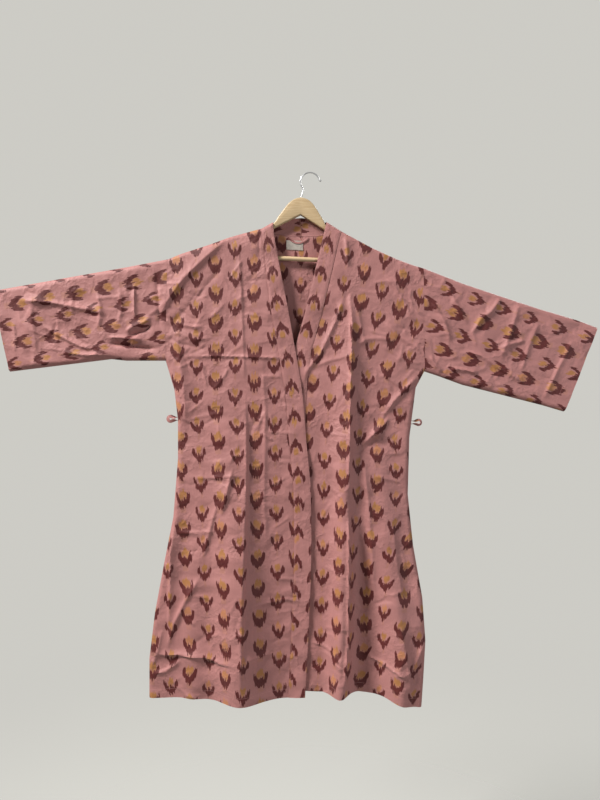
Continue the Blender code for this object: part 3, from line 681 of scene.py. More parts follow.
def grid_mesh(name, points, uvs, sewing, weld=False):
    """A sheet through points[row][column] with its print and sewing maps."""
    rows, columns = points.shape[:2]
    bm = bmesh.new()
    bmesh.ops.create_grid(bm, x_segments=columns - 1, y_segments=rows - 1, size=0.5)
    mesh = bpy.data.meshes.new(name)
    bm.to_mesh(mesh)
    bm.free()
    flat = np.empty(len(mesh.vertices) * 3, np.float32)
    mesh.vertices.foreach_get("co", flat)
    flat = flat.reshape(-1, 3)
    column = np.rint((flat[:, 0] + 0.5) * (columns - 1)).astype(int)
    row = np.rint((flat[:, 1] + 0.5) * (rows - 1)).astype(int)
    mesh.vertices.foreach_set("co", points[row, column].astype(np.float32).ravel())
    corner = np.empty(len(mesh.loops), np.int32)
    mesh.loops.foreach_get("vertex_index", corner)
    for title, values in (("Print", uvs), ("Sewing", sewing)):
        layer = mesh.uv_layers.new(name=title)
        spread = values[row, column][corner]
        layer.data.foreach_set("uv", spread.astype(np.float32).ravel())
    if weld:
        bm = bmesh.new()
        bm.from_mesh(mesh)
        bmesh.ops.remove_doubles(bm, verts=bm.verts, dist=1e-6)
        bm.to_mesh(mesh)
        bm.free()
    return mesh


def face_like(mesh, outward):
    """Turns all faces where the middle one doesn't look outward."""
    mesh.update()
    middle = mesh.polygons[len(mesh.polygons) // 2]
    if middle.normal.dot(outward) < 0.0:
        mesh.flip_normals()


def link(name, mesh, looks, slot, *nodes):
    """One finished piece that rides on the part and stands for its solids."""
    mesh.shade_smooth()
    mesh.materials.append(looks)
    made = bpy.data.objects.new(name, mesh)
    bpy.context.scene.collection.objects.link(made)
    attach(made, "root")
    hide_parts(*nodes)
    return made


def thicken(piece, wall):
    """Gives a sheet its wall, half to each side, with a crisp cut edge."""
    wall_of = piece.modifiers.new("Cloth wall", "SOLIDIFY")
    wall_of.thickness = wall
    wall_of.offset = 0.0
    graph = bpy.context.evaluated_depsgraph_get()
    thick = bpy.data.meshes.new_from_object(
        piece.evaluated_get(graph), preserve_all_data_layers=True, depsgraph=graph
    )
    piece.modifiers.clear()
    piece.data = thick
    thick.set_sharp_from_angle(angle=math.radians(60.0))
    return piece


def sewing_map(x, z, lines):
    """Distance from the nearest sewn line, and the run along it."""
    best = np.full(x.shape, 1.0)
    run = np.zeros(x.shape)
    for line in lines:
        distance, gone, _ = line_field(x, z, [tuple(point) for point in line])
        closer = np.abs(distance) < np.abs(best)
        best = np.where(closer, distance, best)
        run = np.where(closer, gone, run)
    return np.stack([best, run], axis=-1)


def shifted(line, dx, dz):
    return [(row.x + dx, row.z + dz) for row in line]


def cloth_piece(name, points, uvs, sewing, outward, wall, weld=False):
    """A panel in the printed cotton that stands for the solid of the same name."""
    mesh = grid_mesh(name, points, uvs, sewing, weld)
    face_like(mesh, outward)
    return thicken(link(name + "_cloth", mesh, cotton(), "printed_cotton", name), wall)


def front_panel(name, side, top, opening, hem, depth, grain, phase, folds, wall):
    outer = outer_line(side, top)
    seam = opening_lines(opening, top)[1]
    shoulder = shoulder_line(top)
    up = close_shares(round(length_of(outer) / GRID))[:, None]
    across = close_shares(round(length_of(hem) / GRID), end=False)[None, :]
    up, across = np.broadcast_arrays(up, across)
    places = patch(
        partial(along, hem),
        partial(along, shoulder),
        along(outer, up),
        along(seam, up),
        across[..., None],
        up[..., None],
    )
    x, z = places[..., 0], places[..., 1]
    y = depth(x, z, *folds)
    rest = (SEAM_GAP + wall) / 2
    y = np.minimum(y, lean(x, z) - rest)
    y += 0.0004 * np.exp(-(((across - 1.0) * length_of(hem) / 0.003) ** 2))
    sewn = [shifted(hem, 0.0, HEM_TURN), shifted(seam, 0.0, 0.0)]
    return cloth_piece(
        name,
        np.stack([x, y, z], axis=-1),
        print_uv(x, y, z, grain, phase),
        sewing_map(x, z, sewn),
        Vector((0.0, -1.0, 0.0)),
        wall,
    )


NECK_SHARE = (0.418, 0.711)


def back_top(share):
    """The back's upper edge: left shoulder, neck, right shoulder."""
    left = along(shoulder_line(TOP_LEFT), np.clip(share / NECK_SHARE[0], 0.0, 1.0))
    span = NECK_SHARE[1] - NECK_SHARE[0]
    neck = along(NECK_SEAM, np.clip((share - NECK_SHARE[0]) / span, 0.0, 1.0))
    right = along(shoulder_line(TOP_RIGHT), np.clip((1.0 - share) / (1.0 - NECK_SHARE[1]), 0.0, 1.0))
    share = share[..., None]
    return np.where(share <= NECK_SHARE[0], left, np.where(share < NECK_SHARE[1], neck, right))


def back_panel(wall):
    left, right = outer_line(SIDE_LEFT, TOP_LEFT), outer_line(SIDE_RIGHT, TOP_RIGHT)
    count = round(length_of(left) / BACK_GRID)
    levels = close_shares(count)
    share_left = underarm_share(SIDE_LEFT, TOP_LEFT)
    share_right = underarm_share(SIDE_RIGHT, TOP_RIGHT)
    levels_right = np.interp(levels, [0.0, share_left, 1.0], [0.0, share_right, 1.0])
    across = close_shares(round(length_of(HEM_BACK) / BACK_GRID))[None, :]
    up_left, across = np.broadcast_arrays(levels[:, None], across)
    up_right = np.broadcast_to(levels_right[:, None], across.shape)
    up = up_left + (up_right - up_left) * across
    places = patch(
        partial(along, HEM_BACK),
        back_top,
        along(left, up_left),
        along(right, up_right),
        across[..., None],
        up[..., None],
    )
    x, z = places[..., 0], places[..., 1]
    y = back_y(x, z, *BACK_RELIEF)
    y = np.maximum(y, lean(x, z) + (SEAM_GAP + wall) / 2)
    sewn = [shifted(HEM_BACK, 0.0, HEM_TURN), shifted(NECK_SEAM, 0.0, -0.003)]
    return cloth_piece(
        "back_panel",
        np.stack([x, y, z], axis=-1),
        print_uv(x, y, z, BACK_GRAIN, 0.21),
        sewing_map(x, z, sewn),
        Vector((0.0, 1.0, 0.0)),
        wall,
    )


def sleeve(name, top, under, outward, folds, offset, wall):
    """One tube from the armhole to the open cuff, sewn along the underarm."""
    top_line = top[6:]
    length = max(length_of(top_line), length_of(under))
    down = close_shares(round(0.255 / SLEEVE_GRID))
    ring_shares = np.linspace(0.0, 1.0, round(length / SLEEVE_GRID) + 1)[:, None]
    high = along(top_line, ring_shares[:, 0])[:, None, :]
    low = along(under, ring_shares[:, 0])[:, None, :]
    start = outward * SEAM_GAP * (1.0 - smooth(ring_shares * 30.0))
    spots = high + (low - high) * down[None, :, None]
    x, z = spots[..., 0] + start, spots[..., 1]
    rest = (SEAM_GAP + wall) / 2
    front = np.minimum(front_y(x, z, *folds), -rest)
    back = np.maximum(back_y(x, z, *BACK_RELIEF), rest)
    front[:, 0] = back[:, 0] = 0.0
    front[:, -1] = back[:, -1] = 0.0
    turn_x = np.concatenate([x[:, ::-1], x[:, 1:]], axis=1)
    turn_z = np.concatenate([z[:, ::-1], z[:, 1:]], axis=1)
    turn_y = np.concatenate([front[:, ::-1], back[:, 1:]], axis=1)
    axis = (high[-1, 0] - high[0, 0]) / np.linalg.norm(high[-1, 0] - high[0, 0])
    from_x, from_z = turn_x - high[0, 0, 0], turn_z - high[0, 0, 1]
    forward = from_x * axis[0] + from_z * axis[1]
    below = outward * (from_x * axis[1] - from_z * axis[0])
    face = np.where(np.arange(turn_x.shape[1]) < len(down), 1.0, -1.0)
    uvs = np.stack([face * below + offset[0], offset[1] - forward], axis=-1)
    cuff = [(high[-1, 0, 0], high[-1, 0, 1]), (low[-1, 0, 0], low[-1, 0, 1])]
    turned = [(px - outward * CUFF_TURN, pz + 0.004) for px, pz in cuff]
    return cloth_piece(
        name,
        np.stack([turn_x, turn_y, turn_z], axis=-1),
        uvs,
        sewing_map(turn_x, turn_z, [turned]),
        Vector((0.0, 0.0, 0.0)),
        wall,
        weld=True,
    )


def neck_band(wall):
    """One strip up the left front, round the back neck and down the right front."""
    parts = []
    count = 280
    for top, opening, depth, folds in (
        (TOP_LEFT, OPENING_LEFT, front_y, LEFT_RELIEF),
        (TOP_RIGHT, OPENING_RIGHT, lapped_y, RIGHT_RELIEF),
    ):
        free, seam = opening_lines(opening, top)
        shares = close_shares(count, start=False)
        parts.append((along(free, shares), along(seam, shares), depth, folds))
    neck_shares = np.linspace(0.0, 1.0, 48)[1:-1]
    neck = along(NECK_FREE, neck_shares), along(NECK_SEAM, neck_shares)
    parts.insert(1, (*neck, back_y, BACK_RELIEF))
    steps = np.array([0.0, 0.02, 0.05, 0.10, 0.2, 0.3, 0.4, 0.5, 0.6, 0.7, 0.8, 0.9, 0.95, 0.98, 1.0])
    crown = 0.0009 * (1.0 - (2.0 * steps - 1.0) ** 8)
    blocks = []
    for index, (free, seam, depth, folds) in enumerate(parts):
        width = np.hypot(*(free - seam).T)[:, None]
        start = seam + (free - seam) * SEAM_GAP / width
        places = start[:, None, :] + (free - start)[:, None, :] * steps[None, :, None]
        x, z = places[..., 0], places[..., 1]
        y = depth(x, z, *folds)
        y += crown[None, :] * (1.0 if index == 1 else -1.0)
        if index == 0:
            y[-1] = 0.0
        if index == 2:
            y[-1] = 0.0
        block = np.stack([x, y, z], axis=-1)
        blocks.append(block[::-1] if index == 2 else block)
    points = np.concatenate(blocks)
    middle = points[:, len(steps) // 2]
    run = np.concatenate([[0.0], np.cumsum(np.linalg.norm(np.diff(middle, axis=0), axis=1))])
    centre_back = run[len(parts[0][0]) + len(neck_shares) // 2]
    up = np.abs(run - centre_back)[:, None] * np.ones(len(steps))[None, :]
    across = (steps - 0.5)[None, :] * 0.0425 * np.where(run < centre_back, 1.0, -1.0)[:, None]
    across = across + 0.016 * smooth((up - 0.50) / 0.65) * (run < centre_back)[:, None]
    edge = np.minimum(steps, 1.0 - steps)[None, :] * 0.0425 - 0.0022
    sewing = np.stack([np.broadcast_to(edge, up.shape), run[:, None] * np.ones(up.shape)], axis=-1)
    return cloth_piece(
        "neck_band",
        points,
        np.stack([across + 0.004, up], axis=-1),
        sewing,
        Vector((0.0, 0.0, 0.0)),
        wall,
    )


def label_patch(wall):
    """A small woven patch inside the back neck, left bare."""
    clear = 0.0016 + SEAM_GAP / 2
    across, up = np.meshgrid(np.linspace(-0.5, 0.5, 25), np.linspace(-0.5, 0.5, 15))
    x = LABEL_CENTRE[0] + across * LABEL_SIZE[0]
    z = LABEL_CENTRE[1] + up * LABEL_SIZE[1] - across * 0.002
    y = back_y(x, z) - clear
    uvs = np.stack([across * LABEL_SIZE[0], up * LABEL_SIZE[1]], axis=-1)
    inset = np.minimum(0.5 - np.abs(across), 0.5 - np.abs(up)) * 0.03 - 0.0012
    sewing = np.stack([inset, across * LABEL_SIZE[0] + up * LABEL_SIZE[1]], axis=-1)
    mesh = grid_mesh("label", np.stack([x, y, z], axis=-1), uvs, sewing)
    face_like(mesh, Vector((0.0, -1.0, 0.0)))
    return thicken(link("label_woven", mesh, woven(), "woven_label", "label"), wall)


def hanging_loop(wall):
    """A narrow folded strip that hangs in a shallow bow from the neck seam."""
    left, right, sag, strip = -0.057, -0.005, 0.0135, 0.0048
    share, side = np.meshgrid(np.linspace(0.0, 1.0, 61), np.linspace(-0.5, 0.5, 7))
    bow = np.sin(math.pi * share)
    angle = np.arctan2(sag * math.pi * np.cos(math.pi * share), right - left)
    x = left + (right - left) * share + side * strip * np.sin(angle)
    z = -0.1610 - sag * bow + side * strip * np.cos(angle)
    y = back_y(x, z) - 0.0015 - 0.0013 * smooth(3.0 * bow) - 0.0005 * (1.0 - (2.0 * side) ** 2)
    uvs = np.stack([side * strip + 0.012, share * 0.058], axis=-1)
    sewing = np.stack([strip / 2 - np.abs(side * strip) - 0.0007, share * 0.058], axis=-1)
    points = np.stack([x, y, z], axis=-1)
    mesh = grid_mesh("hanging_loop", points, uvs, sewing)
    face_like(mesh, Vector((0.0, -1.0, 0.0)))
    return thicken(link("hanging_loop_cloth", mesh, cotton(), "printed_cotton", "hanging_loop"), wall)


def belt_loop(name, side, height, outward, shift, turn, wall):
    """A strip that stands out from the side seam and comes back to it lower down, turned to show its face."""
    heights, reaches = [row.z for row in side], [row.x for row in side]
    radius = BELT_LOOP_RISE / 2 - 0.0012
    turns = np.radians(np.linspace(90.0, -90.0, 25))
    centre = np.interp(height, heights, reaches) + outward * (BELT_LOOP_REACH - radius - 0.0035)
    legs = []
    for level in (1.0, -1.0):
        foot = np.interp(height + level * radius, heights, reaches) + outward * (SEAM_GAP + wall / 2)
        straight = np.linspace(foot, centre, 13)[:-1]
        pinch = level * (radius - 0.0030 * np.sin(np.linspace(0.25, 1.0, 12) * math.pi))
        leg = np.stack([straight, height + pinch], axis=-1)
        legs.append(leg if level > 0 else leg[::-1])
    bend = np.stack([centre + outward * radius * np.cos(turns), height + radius * np.sin(turns)], axis=-1)
    path = np.concatenate([legs[0], bend, legs[1]])
    steps = np.gradient(path, axis=0)
    steps /= np.linalg.norm(steps, axis=1)[:, None]
    run = np.concatenate([[0.0], np.cumsum(np.hypot(*np.diff(path, axis=0).T))])
    share = run / run[-1]
    twist = turn * smooth(4.0 * share) * smooth(4.0 * (1.0 - share))
    widths = np.linspace(-0.5, 0.5, 9)[:, None] * BELT_LOOP_STRIP
    x = path[:, 0] + outward * widths * np.sin(twist) * -steps[:, 1]
    z = path[:, 1] + outward * widths * np.sin(twist) * steps[:, 0]
    y = widths * np.cos(twist) + 0.0016 * np.cos(math.pi * share) * smooth(4.0 * share) * smooth(4.0 * (1.0 - share))
    strip = widths + 0.0 * x
    uvs = np.stack([strip + shift, np.broadcast_to(run, x.shape)], axis=-1)
    sewing = np.stack([BELT_LOOP_STRIP / 2 - np.abs(strip) - 0.0013, np.broadcast_to(run, x.shape)], axis=-1)
    mesh = grid_mesh(name, np.stack([x, y, z], axis=-1), uvs, sewing)
    mesh.update()
    return thicken(link(name + "_cloth", mesh, cotton(), "printed_cotton", name), wall)


# Materials


class NodeSheet:
    """Adds shader nodes to a tree and joins them in the order they are read."""

    def __init__(self, tree):
        self.tree = tree

    def add(self, kind, **settings):
        node = self.tree.nodes.new(kind)
        for key, value in settings.items():
            setattr(node, key, value)
        return node

    def feed(self, socket, value):
        if isinstance(value, bpy.types.NodeSocket):
            self.tree.links.new(value, socket)
        else:
            socket.default_value = value

    def maths(self, operation, *values, clamp=False):
        node = self.add("ShaderNodeMath", operation=operation, use_clamp=clamp)
        for socket, value in zip(node.inputs, values):
            self.feed(socket, value)
        return node.outputs[0]

    def ramp(self, value, low, high, to_low=0.0, to_high=1.0):
        node = self.add("ShaderNodeMapRange", interpolation_type="SMOOTHSTEP")
        for socket, item in zip(node.inputs, (value, low, high, to_low, to_high)):
            self.feed(socket, item)
        return node.outputs["Result"]

    def curve(self, value, low, high, points):
        """A charted profile: points are shares of the way from low to high, and heights from 0 to 1."""
        share = self.add("ShaderNodeMapRange")
        for socket, item in zip(share.inputs, (value, low, high, 0.0, 1.0)):
            self.feed(socket, item)
        node = self.add("ShaderNodeFloatCurve")
        line = node.mapping.curves[0]
        for index, point in enumerate(points):
            if index < 2:
                line.points[index].location = point
            else:
                line.points.new(*point)
        for point in line.points:
            point.handle_type = "AUTO_CLAMPED"
        node.mapping.update()
        self.feed(node.inputs["Value"], share.outputs["Result"])
        return node.outputs["Value"]

    def mix(self, share, first, second):
        node = self.add("ShaderNodeMix", data_type="RGBA")
        self.feed(node.inputs["Factor"], share)
        self.feed(node.inputs["A"], first)
        self.feed(node.inputs["B"], second)
        return node.outputs["Result"]

    def point(self, x=0.0, y=0.0, z=0.0):
        node = self.add("ShaderNodeCombineXYZ")
        for socket, value in zip(node.inputs, (x, y, z)):
            self.feed(socket, value)
        return node.outputs[0]

    def noise(self, vector, scale, detail=2.0, roughness=0.5):
        node = self.add("ShaderNodeTexNoise")
        self.feed(node.inputs["Vector"], vector)
        self.feed(node.inputs["Scale"], scale)
        self.feed(node.inputs["Detail"], detail)
        self.feed(node.inputs["Roughness"], roughness)
        return node.outputs["Fac"]

    def chance(self, vector):
        node = self.add("ShaderNodeTexWhiteNoise", noise_dimensions="3D")
        self.feed(node.inputs["Vector"], vector)
        return node.outputs["Value"]

    def bump(self, height, distance, strength=1.0, normal=None):
        node = self.add("ShaderNodeBump")
        self.feed(node.inputs["Height"], height)
        self.feed(node.inputs["Distance"], distance)
        self.feed(node.inputs["Strength"], strength)
        if normal is not None:
            self.feed(node.inputs["Normal"], normal)
        return node.outputs["Normal"]


def group_tree(name, takes, gives):
    """An empty shader node group with named sockets, or None if it is there already."""
    if name in bpy.data.node_groups:
        return None, None, None
    tree = bpy.data.node_groups.new(name, "ShaderNodeTree")
    for title, kind, value in takes:
        socket = tree.interface.new_socket(title, in_out="INPUT", socket_type=kind)
        if value is not None:
            socket.default_value = value
    for title, kind in gives:
        tree.interface.new_socket(title, in_out="OUTPUT", socket_type=kind)
    sheet = NodeSheet(tree)
    return sheet, sheet.add("NodeGroupInput"), sheet.add("NodeGroupOutput")


def placed(sheet, name, **values):
    """A node group put into a material, with its own values."""
    node = sheet.add("ShaderNodeGroup", node_tree=bpy.data.node_groups[name])
    for title, value in values.items():
        sheet.feed(node.inputs[title.replace("_", " ")], value)
    return node


FLOAT, VECTOR, COLOUR = "NodeSocketFloat", "NodeSocketVector", "NodeSocketColor"


def build_motif_group():
    """One motif in its own millimetres: a wide bowl or a narrow V, with a ball above it."""
    takes = (("Across", FLOAT, 0.0), ("Up", FLOAT, 0.0), ("Bowl", FLOAT, 0.0))
    sheet, given, made = group_tree("Ikat motif", takes, (("Leaf", FLOAT), ("Ball", FLOAT)))
    if sheet is None:
        return
    across = sheet.maths("ABSOLUTE", given.outputs["Across"])
    up, bowl = given.outputs["Up"], given.outputs["Bowl"]
    charts = {
        "bowl_outer": (
            (0.0, 0.16), (0.07, 0.36), (0.14, 0.50), (0.22, 0.61), (0.32, 0.72), (0.42, 0.80),
            (0.52, 0.87), (0.64, 0.92), (0.80, 0.94), (0.94, 0.91), (1.0, 0.76),
        ),
        "bowl_inner": ((0.0, 0.0), (0.58, 0.0), (0.61, 0.26), (0.66, 0.40), (0.73, 0.49), (0.82, 0.54), (0.94, 0.60), (1.0, 0.72)),
        "v_outer": (
            (0.0, 0.0), (0.05, 0.05), (0.11, 0.18), (0.18, 0.27), (0.27, 0.39), (0.38, 0.54),
            (0.50, 0.70), (0.62, 0.82), (0.76, 0.88), (0.92, 0.87), (1.0, 0.74),
        ),
        "v_inner": ((0.0, 0.0), (0.52, 0.0), (0.56, 0.18), (0.63, 0.34), (0.72, 0.44), (0.84, 0.49), (0.94, 0.55), (1.0, 0.68)),
        "bowl_ball": ((0.0, 0.40), (0.17, 0.48), (0.38, 0.53), (0.52, 0.55), (0.66, 0.50), (0.80, 0.38), (0.92, 0.22), (1.0, 0.06)),
        "v_ball": ((0.0, 0.14), (0.15, 0.24), (0.36, 0.33), (0.62, 0.37), (0.82, 0.30), (0.93, 0.18), (1.0, 0.05)),
    }
    leaf = []
    ball = []
    for kind, ball_low, ball_high in (("bowl", -5.0, 24.0), ("v", -4.0, 22.0)):
        outer = sheet.maths("MULTIPLY", sheet.curve(up, -28.0, 14.0, charts[kind + "_outer"]), 20.0)
        inner = sheet.maths("MULTIPLY", sheet.curve(up, -28.0, 14.0, charts[kind + "_inner"]), 20.0)
        within = sheet.ramp(sheet.maths("SUBTRACT", outer, across), -0.40, 0.50)
        beyond = sheet.ramp(sheet.maths("SUBTRACT", across, inner), -0.50, 0.40)
        beyond = sheet.maths("MAXIMUM", beyond, sheet.maths("LESS_THAN", inner, 0.05))
        if kind == "v":
            tongue = sheet.maths("LESS_THAN", up, sheet.ramp(across, 4.8, 1.6, -8.0, -0.5))
            beyond = sheet.maths("MAXIMUM", beyond, tongue)
        tips = sheet.ramp(sheet.maths("SUBTRACT", 14.0, up), 0.0, 0.8)
        foot = sheet.ramp(sheet.maths("ADD", up, 28.0), 0.0, 0.8)
        shape = sheet.maths("MULTIPLY", sheet.maths("MULTIPLY", within, beyond), sheet.maths("MULTIPLY", tips, foot))
        leaf.append(shape)
        wide = sheet.maths("MULTIPLY", sheet.curve(up, ball_low, ball_high, charts[kind + "_ball"]), 20.0)
        round_part = sheet.ramp(sheet.maths("SUBTRACT", wide, across), -0.8, 2.2)
        span = sheet.maths(
            "MULTIPLY",
            sheet.ramp(up, ball_low, ball_low + 11.0, 0.22, 1.0),
            sheet.ramp(up, ball_high, ball_high - 4.0),
        )
        ball.append(sheet.maths("MULTIPLY", round_part, span))
    for title, pair in (("Leaf", leaf), ("Ball", ball)):
        node = sheet.add("ShaderNodeMix", data_type="FLOAT")
        sheet.feed(node.inputs["Factor"], bowl)
        sheet.feed(node.inputs["A"], pair[1])
        sheet.feed(node.inputs["B"], pair[0])
        sheet.feed(made.inputs[title], node.outputs["Result"])


def build_ikat_group():
    """The printed cloth: half-dropped motifs whose edges step and feather along the warp."""
    build_motif_group()
    takes = (
        ("Print", VECTOR, None),
        ("Ground", COLOUR, (0.5, 0.2, 0.2, 1.0)),
        ("Leaf", COLOUR, (0.1, 0.02, 0.02, 1.0)),
        ("Ball", COLOUR, (0.5, 0.2, 0.05, 1.0)),
        ("Warm Ball", COLOUR, (0.6, 0.2, 0.1, 1.0)),
    )
    sheet, given, made = group_tree("Ikat print", takes, (("Color", COLOUR), ("Ink", FLOAT)))
    if sheet is None:
        return
    split = sheet.add("ShaderNodeSeparateXYZ")
    sheet.feed(split.inputs[0], given.outputs["Print"])
    u, v = split.outputs[0], split.outputs[1]
    drift = sheet.maths("SUBTRACT", sheet.noise(given.outputs["Print"], 6.0, 1.0), 0.5)
    u = sheet.maths("ADD", u, sheet.maths("MULTIPLY", drift, 0.0022))
    column = sheet.maths("FLOOR", sheet.maths("ADD", sheet.maths("DIVIDE", u, COLUMN), 0.5))
    bowl = sheet.maths("FLOORED_MODULO", column, 2.0)
    lowered = sheet.maths("ADD", v, sheet.maths("MULTIPLY", bowl, ROW / 2))
    strip = sheet.maths("FLOOR", sheet.maths("DIVIDE", u, 0.0030))
    narrow = sheet.maths("FLOOR", sheet.maths("DIVIDE", u, 0.0012))
    row = sheet.maths("FLOOR", sheet.maths("ADD", sheet.maths("DIVIDE", lowered, ROW), 0.5))
    own = sheet.chance(sheet.point(column, row, 3.0))
    other = sheet.chance(sheet.point(column, row, 8.0))
    slip = sheet.maths("SUBTRACT", sheet.chance(sheet.point(strip, row, column)), 0.5)
    fine = sheet.maths("SUBTRACT", sheet.chance(sheet.point(narrow, row, column)), 0.5)
    thread_slip = sheet.chance(sheet.point(sheet.maths("FLOOR", sheet.maths("DIVIDE", u, 0.00045)), row, 5.0))
    across = sheet.maths("MULTIPLY", sheet.maths("SUBTRACT", u, sheet.maths("MULTIPLY", column, COLUMN)), 1000.0)
    up = sheet.maths("MULTIPLY", sheet.maths("SUBTRACT", lowered, sheet.maths("MULTIPLY", row, ROW)), 1000.0)
    up = sheet.maths("ADD", up, sheet.maths("MULTIPLY", slip, sheet.maths("ADD", 7.6, sheet.maths("MULTIPLY", bowl, 1.8))))
    up = sheet.maths("ADD", up, sheet.maths("MULTIPLY", fine, 5.6))
    up = sheet.maths("ADD", up, sheet.maths("MULTIPLY", sheet.maths("SUBTRACT", thread_slip, 0.5), 1.4))
    up = sheet.maths("ADD", up, sheet.maths("MULTIPLY", sheet.maths("SUBTRACT", other, 0.5), 2.4))
    across = sheet.maths("MULTIPLY", across, sheet.maths("ADD", 0.93, sheet.maths("MULTIPLY", own, 0.16)))
    across = sheet.maths("ADD", across, sheet.maths("MULTIPLY", sheet.maths("SUBTRACT", other, 0.5), 1.6))
    motif = placed(sheet, "Ikat motif", Across=across, Up=sheet.maths("MULTIPLY", up, 1.10), Bowl=bowl)
    thread = sheet.noise(sheet.point(sheet.maths("MULTIPLY", u, 2600.0), sheet.maths("MULTIPLY", v, 90.0), 0.0), 1.0, 2.0)
    fade = sheet.ramp(thread, 0.18, 0.50, 0.72, 1.0)
    leaf = sheet.maths("MULTIPLY", motif.outputs["Leaf"], fade)
    ball = sheet.maths("MULTIPLY", motif.outputs["Ball"], sheet.ramp(thread, 0.15, 0.60, 0.70, 1.0))
    ball = sheet.maths("MULTIPLY", ball, sheet.ramp(up, 26.0, 14.0, 0.62, 1.0))
    cloud = sheet.noise(given.outputs["Print"], 14.0, 3.0, 0.6)
    streak = sheet.noise(sheet.point(sheet.maths("MULTIPLY", u, 700.0), sheet.maths("MULTIPLY", v, 14.0), 0.0), 1.0, 3.0)
    tone = sheet.maths("ADD", sheet.ramp(cloud, 0.2, 0.8, -0.06, 0.06), sheet.ramp(streak, 0.2, 0.8, -0.045, 0.045))
    ground = sheet.add("ShaderNodeHueSaturation")
    sheet.feed(ground.inputs["Color"], given.outputs["Ground"])
    sheet.feed(ground.inputs["Value"], sheet.maths("ADD", 1.0, tone))
    warm = sheet.mix(sheet.ramp(own, 0.62, 0.95), given.outputs["Ball"], given.outputs["Warm Ball"])
    colour = sheet.mix(ball, ground.outputs["Color"], warm)
    colour = sheet.mix(leaf, colour, given.outputs["Leaf"])
    sheet.feed(made.inputs["Color"], colour)
    sheet.feed(made.inputs["Ink"], sheet.maths("MAXIMUM", leaf, ball))


def build_weave_group():
    """Plain weave: threads over and under each other, with slubs, as a height and a shade."""
    takes = (("Print", VECTOR, None), ("Threads", FLOAT, 2100.0))
    sheet, given, made = group_tree("Plain weave", takes, (("Height", FLOAT), ("Shade", FLOAT)))
    if sheet is None:
        return
    split = sheet.add("ShaderNodeSeparateXYZ")
    sheet.feed(split.inputs[0], given.outputs["Print"])
    waves = []
    for axis in (0, 1):
        turned = sheet.maths("MULTIPLY", split.outputs[axis], given.outputs["Threads"])
        wobble = sheet.noise(given.outputs["Print"], 240.0 + 60.0 * axis, 1.0)
        waves.append(sheet.maths("ADD", turned, sheet.maths("MULTIPLY", wobble, 0.5)))
    crossing = [sheet.maths("SINE", sheet.maths("MULTIPLY", wave, math.pi)) for wave in waves]
    over = sheet.maths("MULTIPLY", crossing[0], crossing[1])
    slub_u = sheet.noise(sheet.point(sheet.maths("MULTIPLY", split.outputs[0], 45.0), sheet.maths("MULTIPLY", split.outputs[1], 1500.0), 0.0), 1.0, 2.0)
    slub_v = sheet.noise(sheet.point(sheet.maths("MULTIPLY", split.outputs[0], 1500.0), sheet.maths("MULTIPLY", split.outputs[1], 45.0), 4.0), 1.0, 2.0)
    slub = sheet.maths("ADD", sheet.ramp(slub_u, 0.60, 0.80), sheet.ramp(slub_v, 0.60, 0.80))
    height = sheet.maths("ADD", sheet.maths("ABSOLUTE", over), sheet.maths("MULTIPLY", slub, 0.8))
    sheet.feed(made.inputs["Height"], height)
    sheet.feed(made.inputs["Shade"], sheet.ramp(over, -1.0, 1.0))


def build_sewing_group():
    """A row of small stitches along a sewn line, from the distance to it and the run along it."""
    takes = (("Sewing", VECTOR, None), ("Stitch", FLOAT, 0.0030), ("Thread", FLOAT, 0.00035))
    sheet, given, made = group_tree("Stitch row", takes, (("Thread", FLOAT), ("Pucker", FLOAT)))
    if sheet is None:
        return
    split = sheet.add("ShaderNodeSeparateXYZ")
    sheet.feed(split.inputs[0], given.outputs["Sewing"])
    away = sheet.maths("ABSOLUTE", split.outputs[0])
    share = sheet.maths("FRACT", sheet.maths("DIVIDE", split.outputs[1], given.outputs["Stitch"]))
    middle = sheet.maths("ABSOLUTE", sheet.maths("SUBTRACT", share, 0.5))
    length = sheet.ramp(middle, 0.40, 0.32)
    width = sheet.ramp(sheet.maths("DIVIDE", away, given.outputs["Thread"]), 1.0, 0.6)
    thread = sheet.maths("MULTIPLY", length, width)
    groove = sheet.ramp(away, 0.0018, 0.0, 0.0, 1.0)
    pull = sheet.maths("MULTIPLY", groove, sheet.ramp(middle, 0.0, 0.5, 0.5, 1.0))
    sheet.feed(made.inputs["Thread"], thread)
    sheet.feed(made.inputs["Pucker"], pull)


def new_material(name):
    looks = bpy.data.materials.new(name)
    looks.use_nodes = True
    return looks, NodeSheet(looks.node_tree), looks.node_tree.nodes["Principled BSDF"]


def uv_of(sheet, title):
    return sheet.add("ShaderNodeUVMap", uv_map=title).outputs[0]


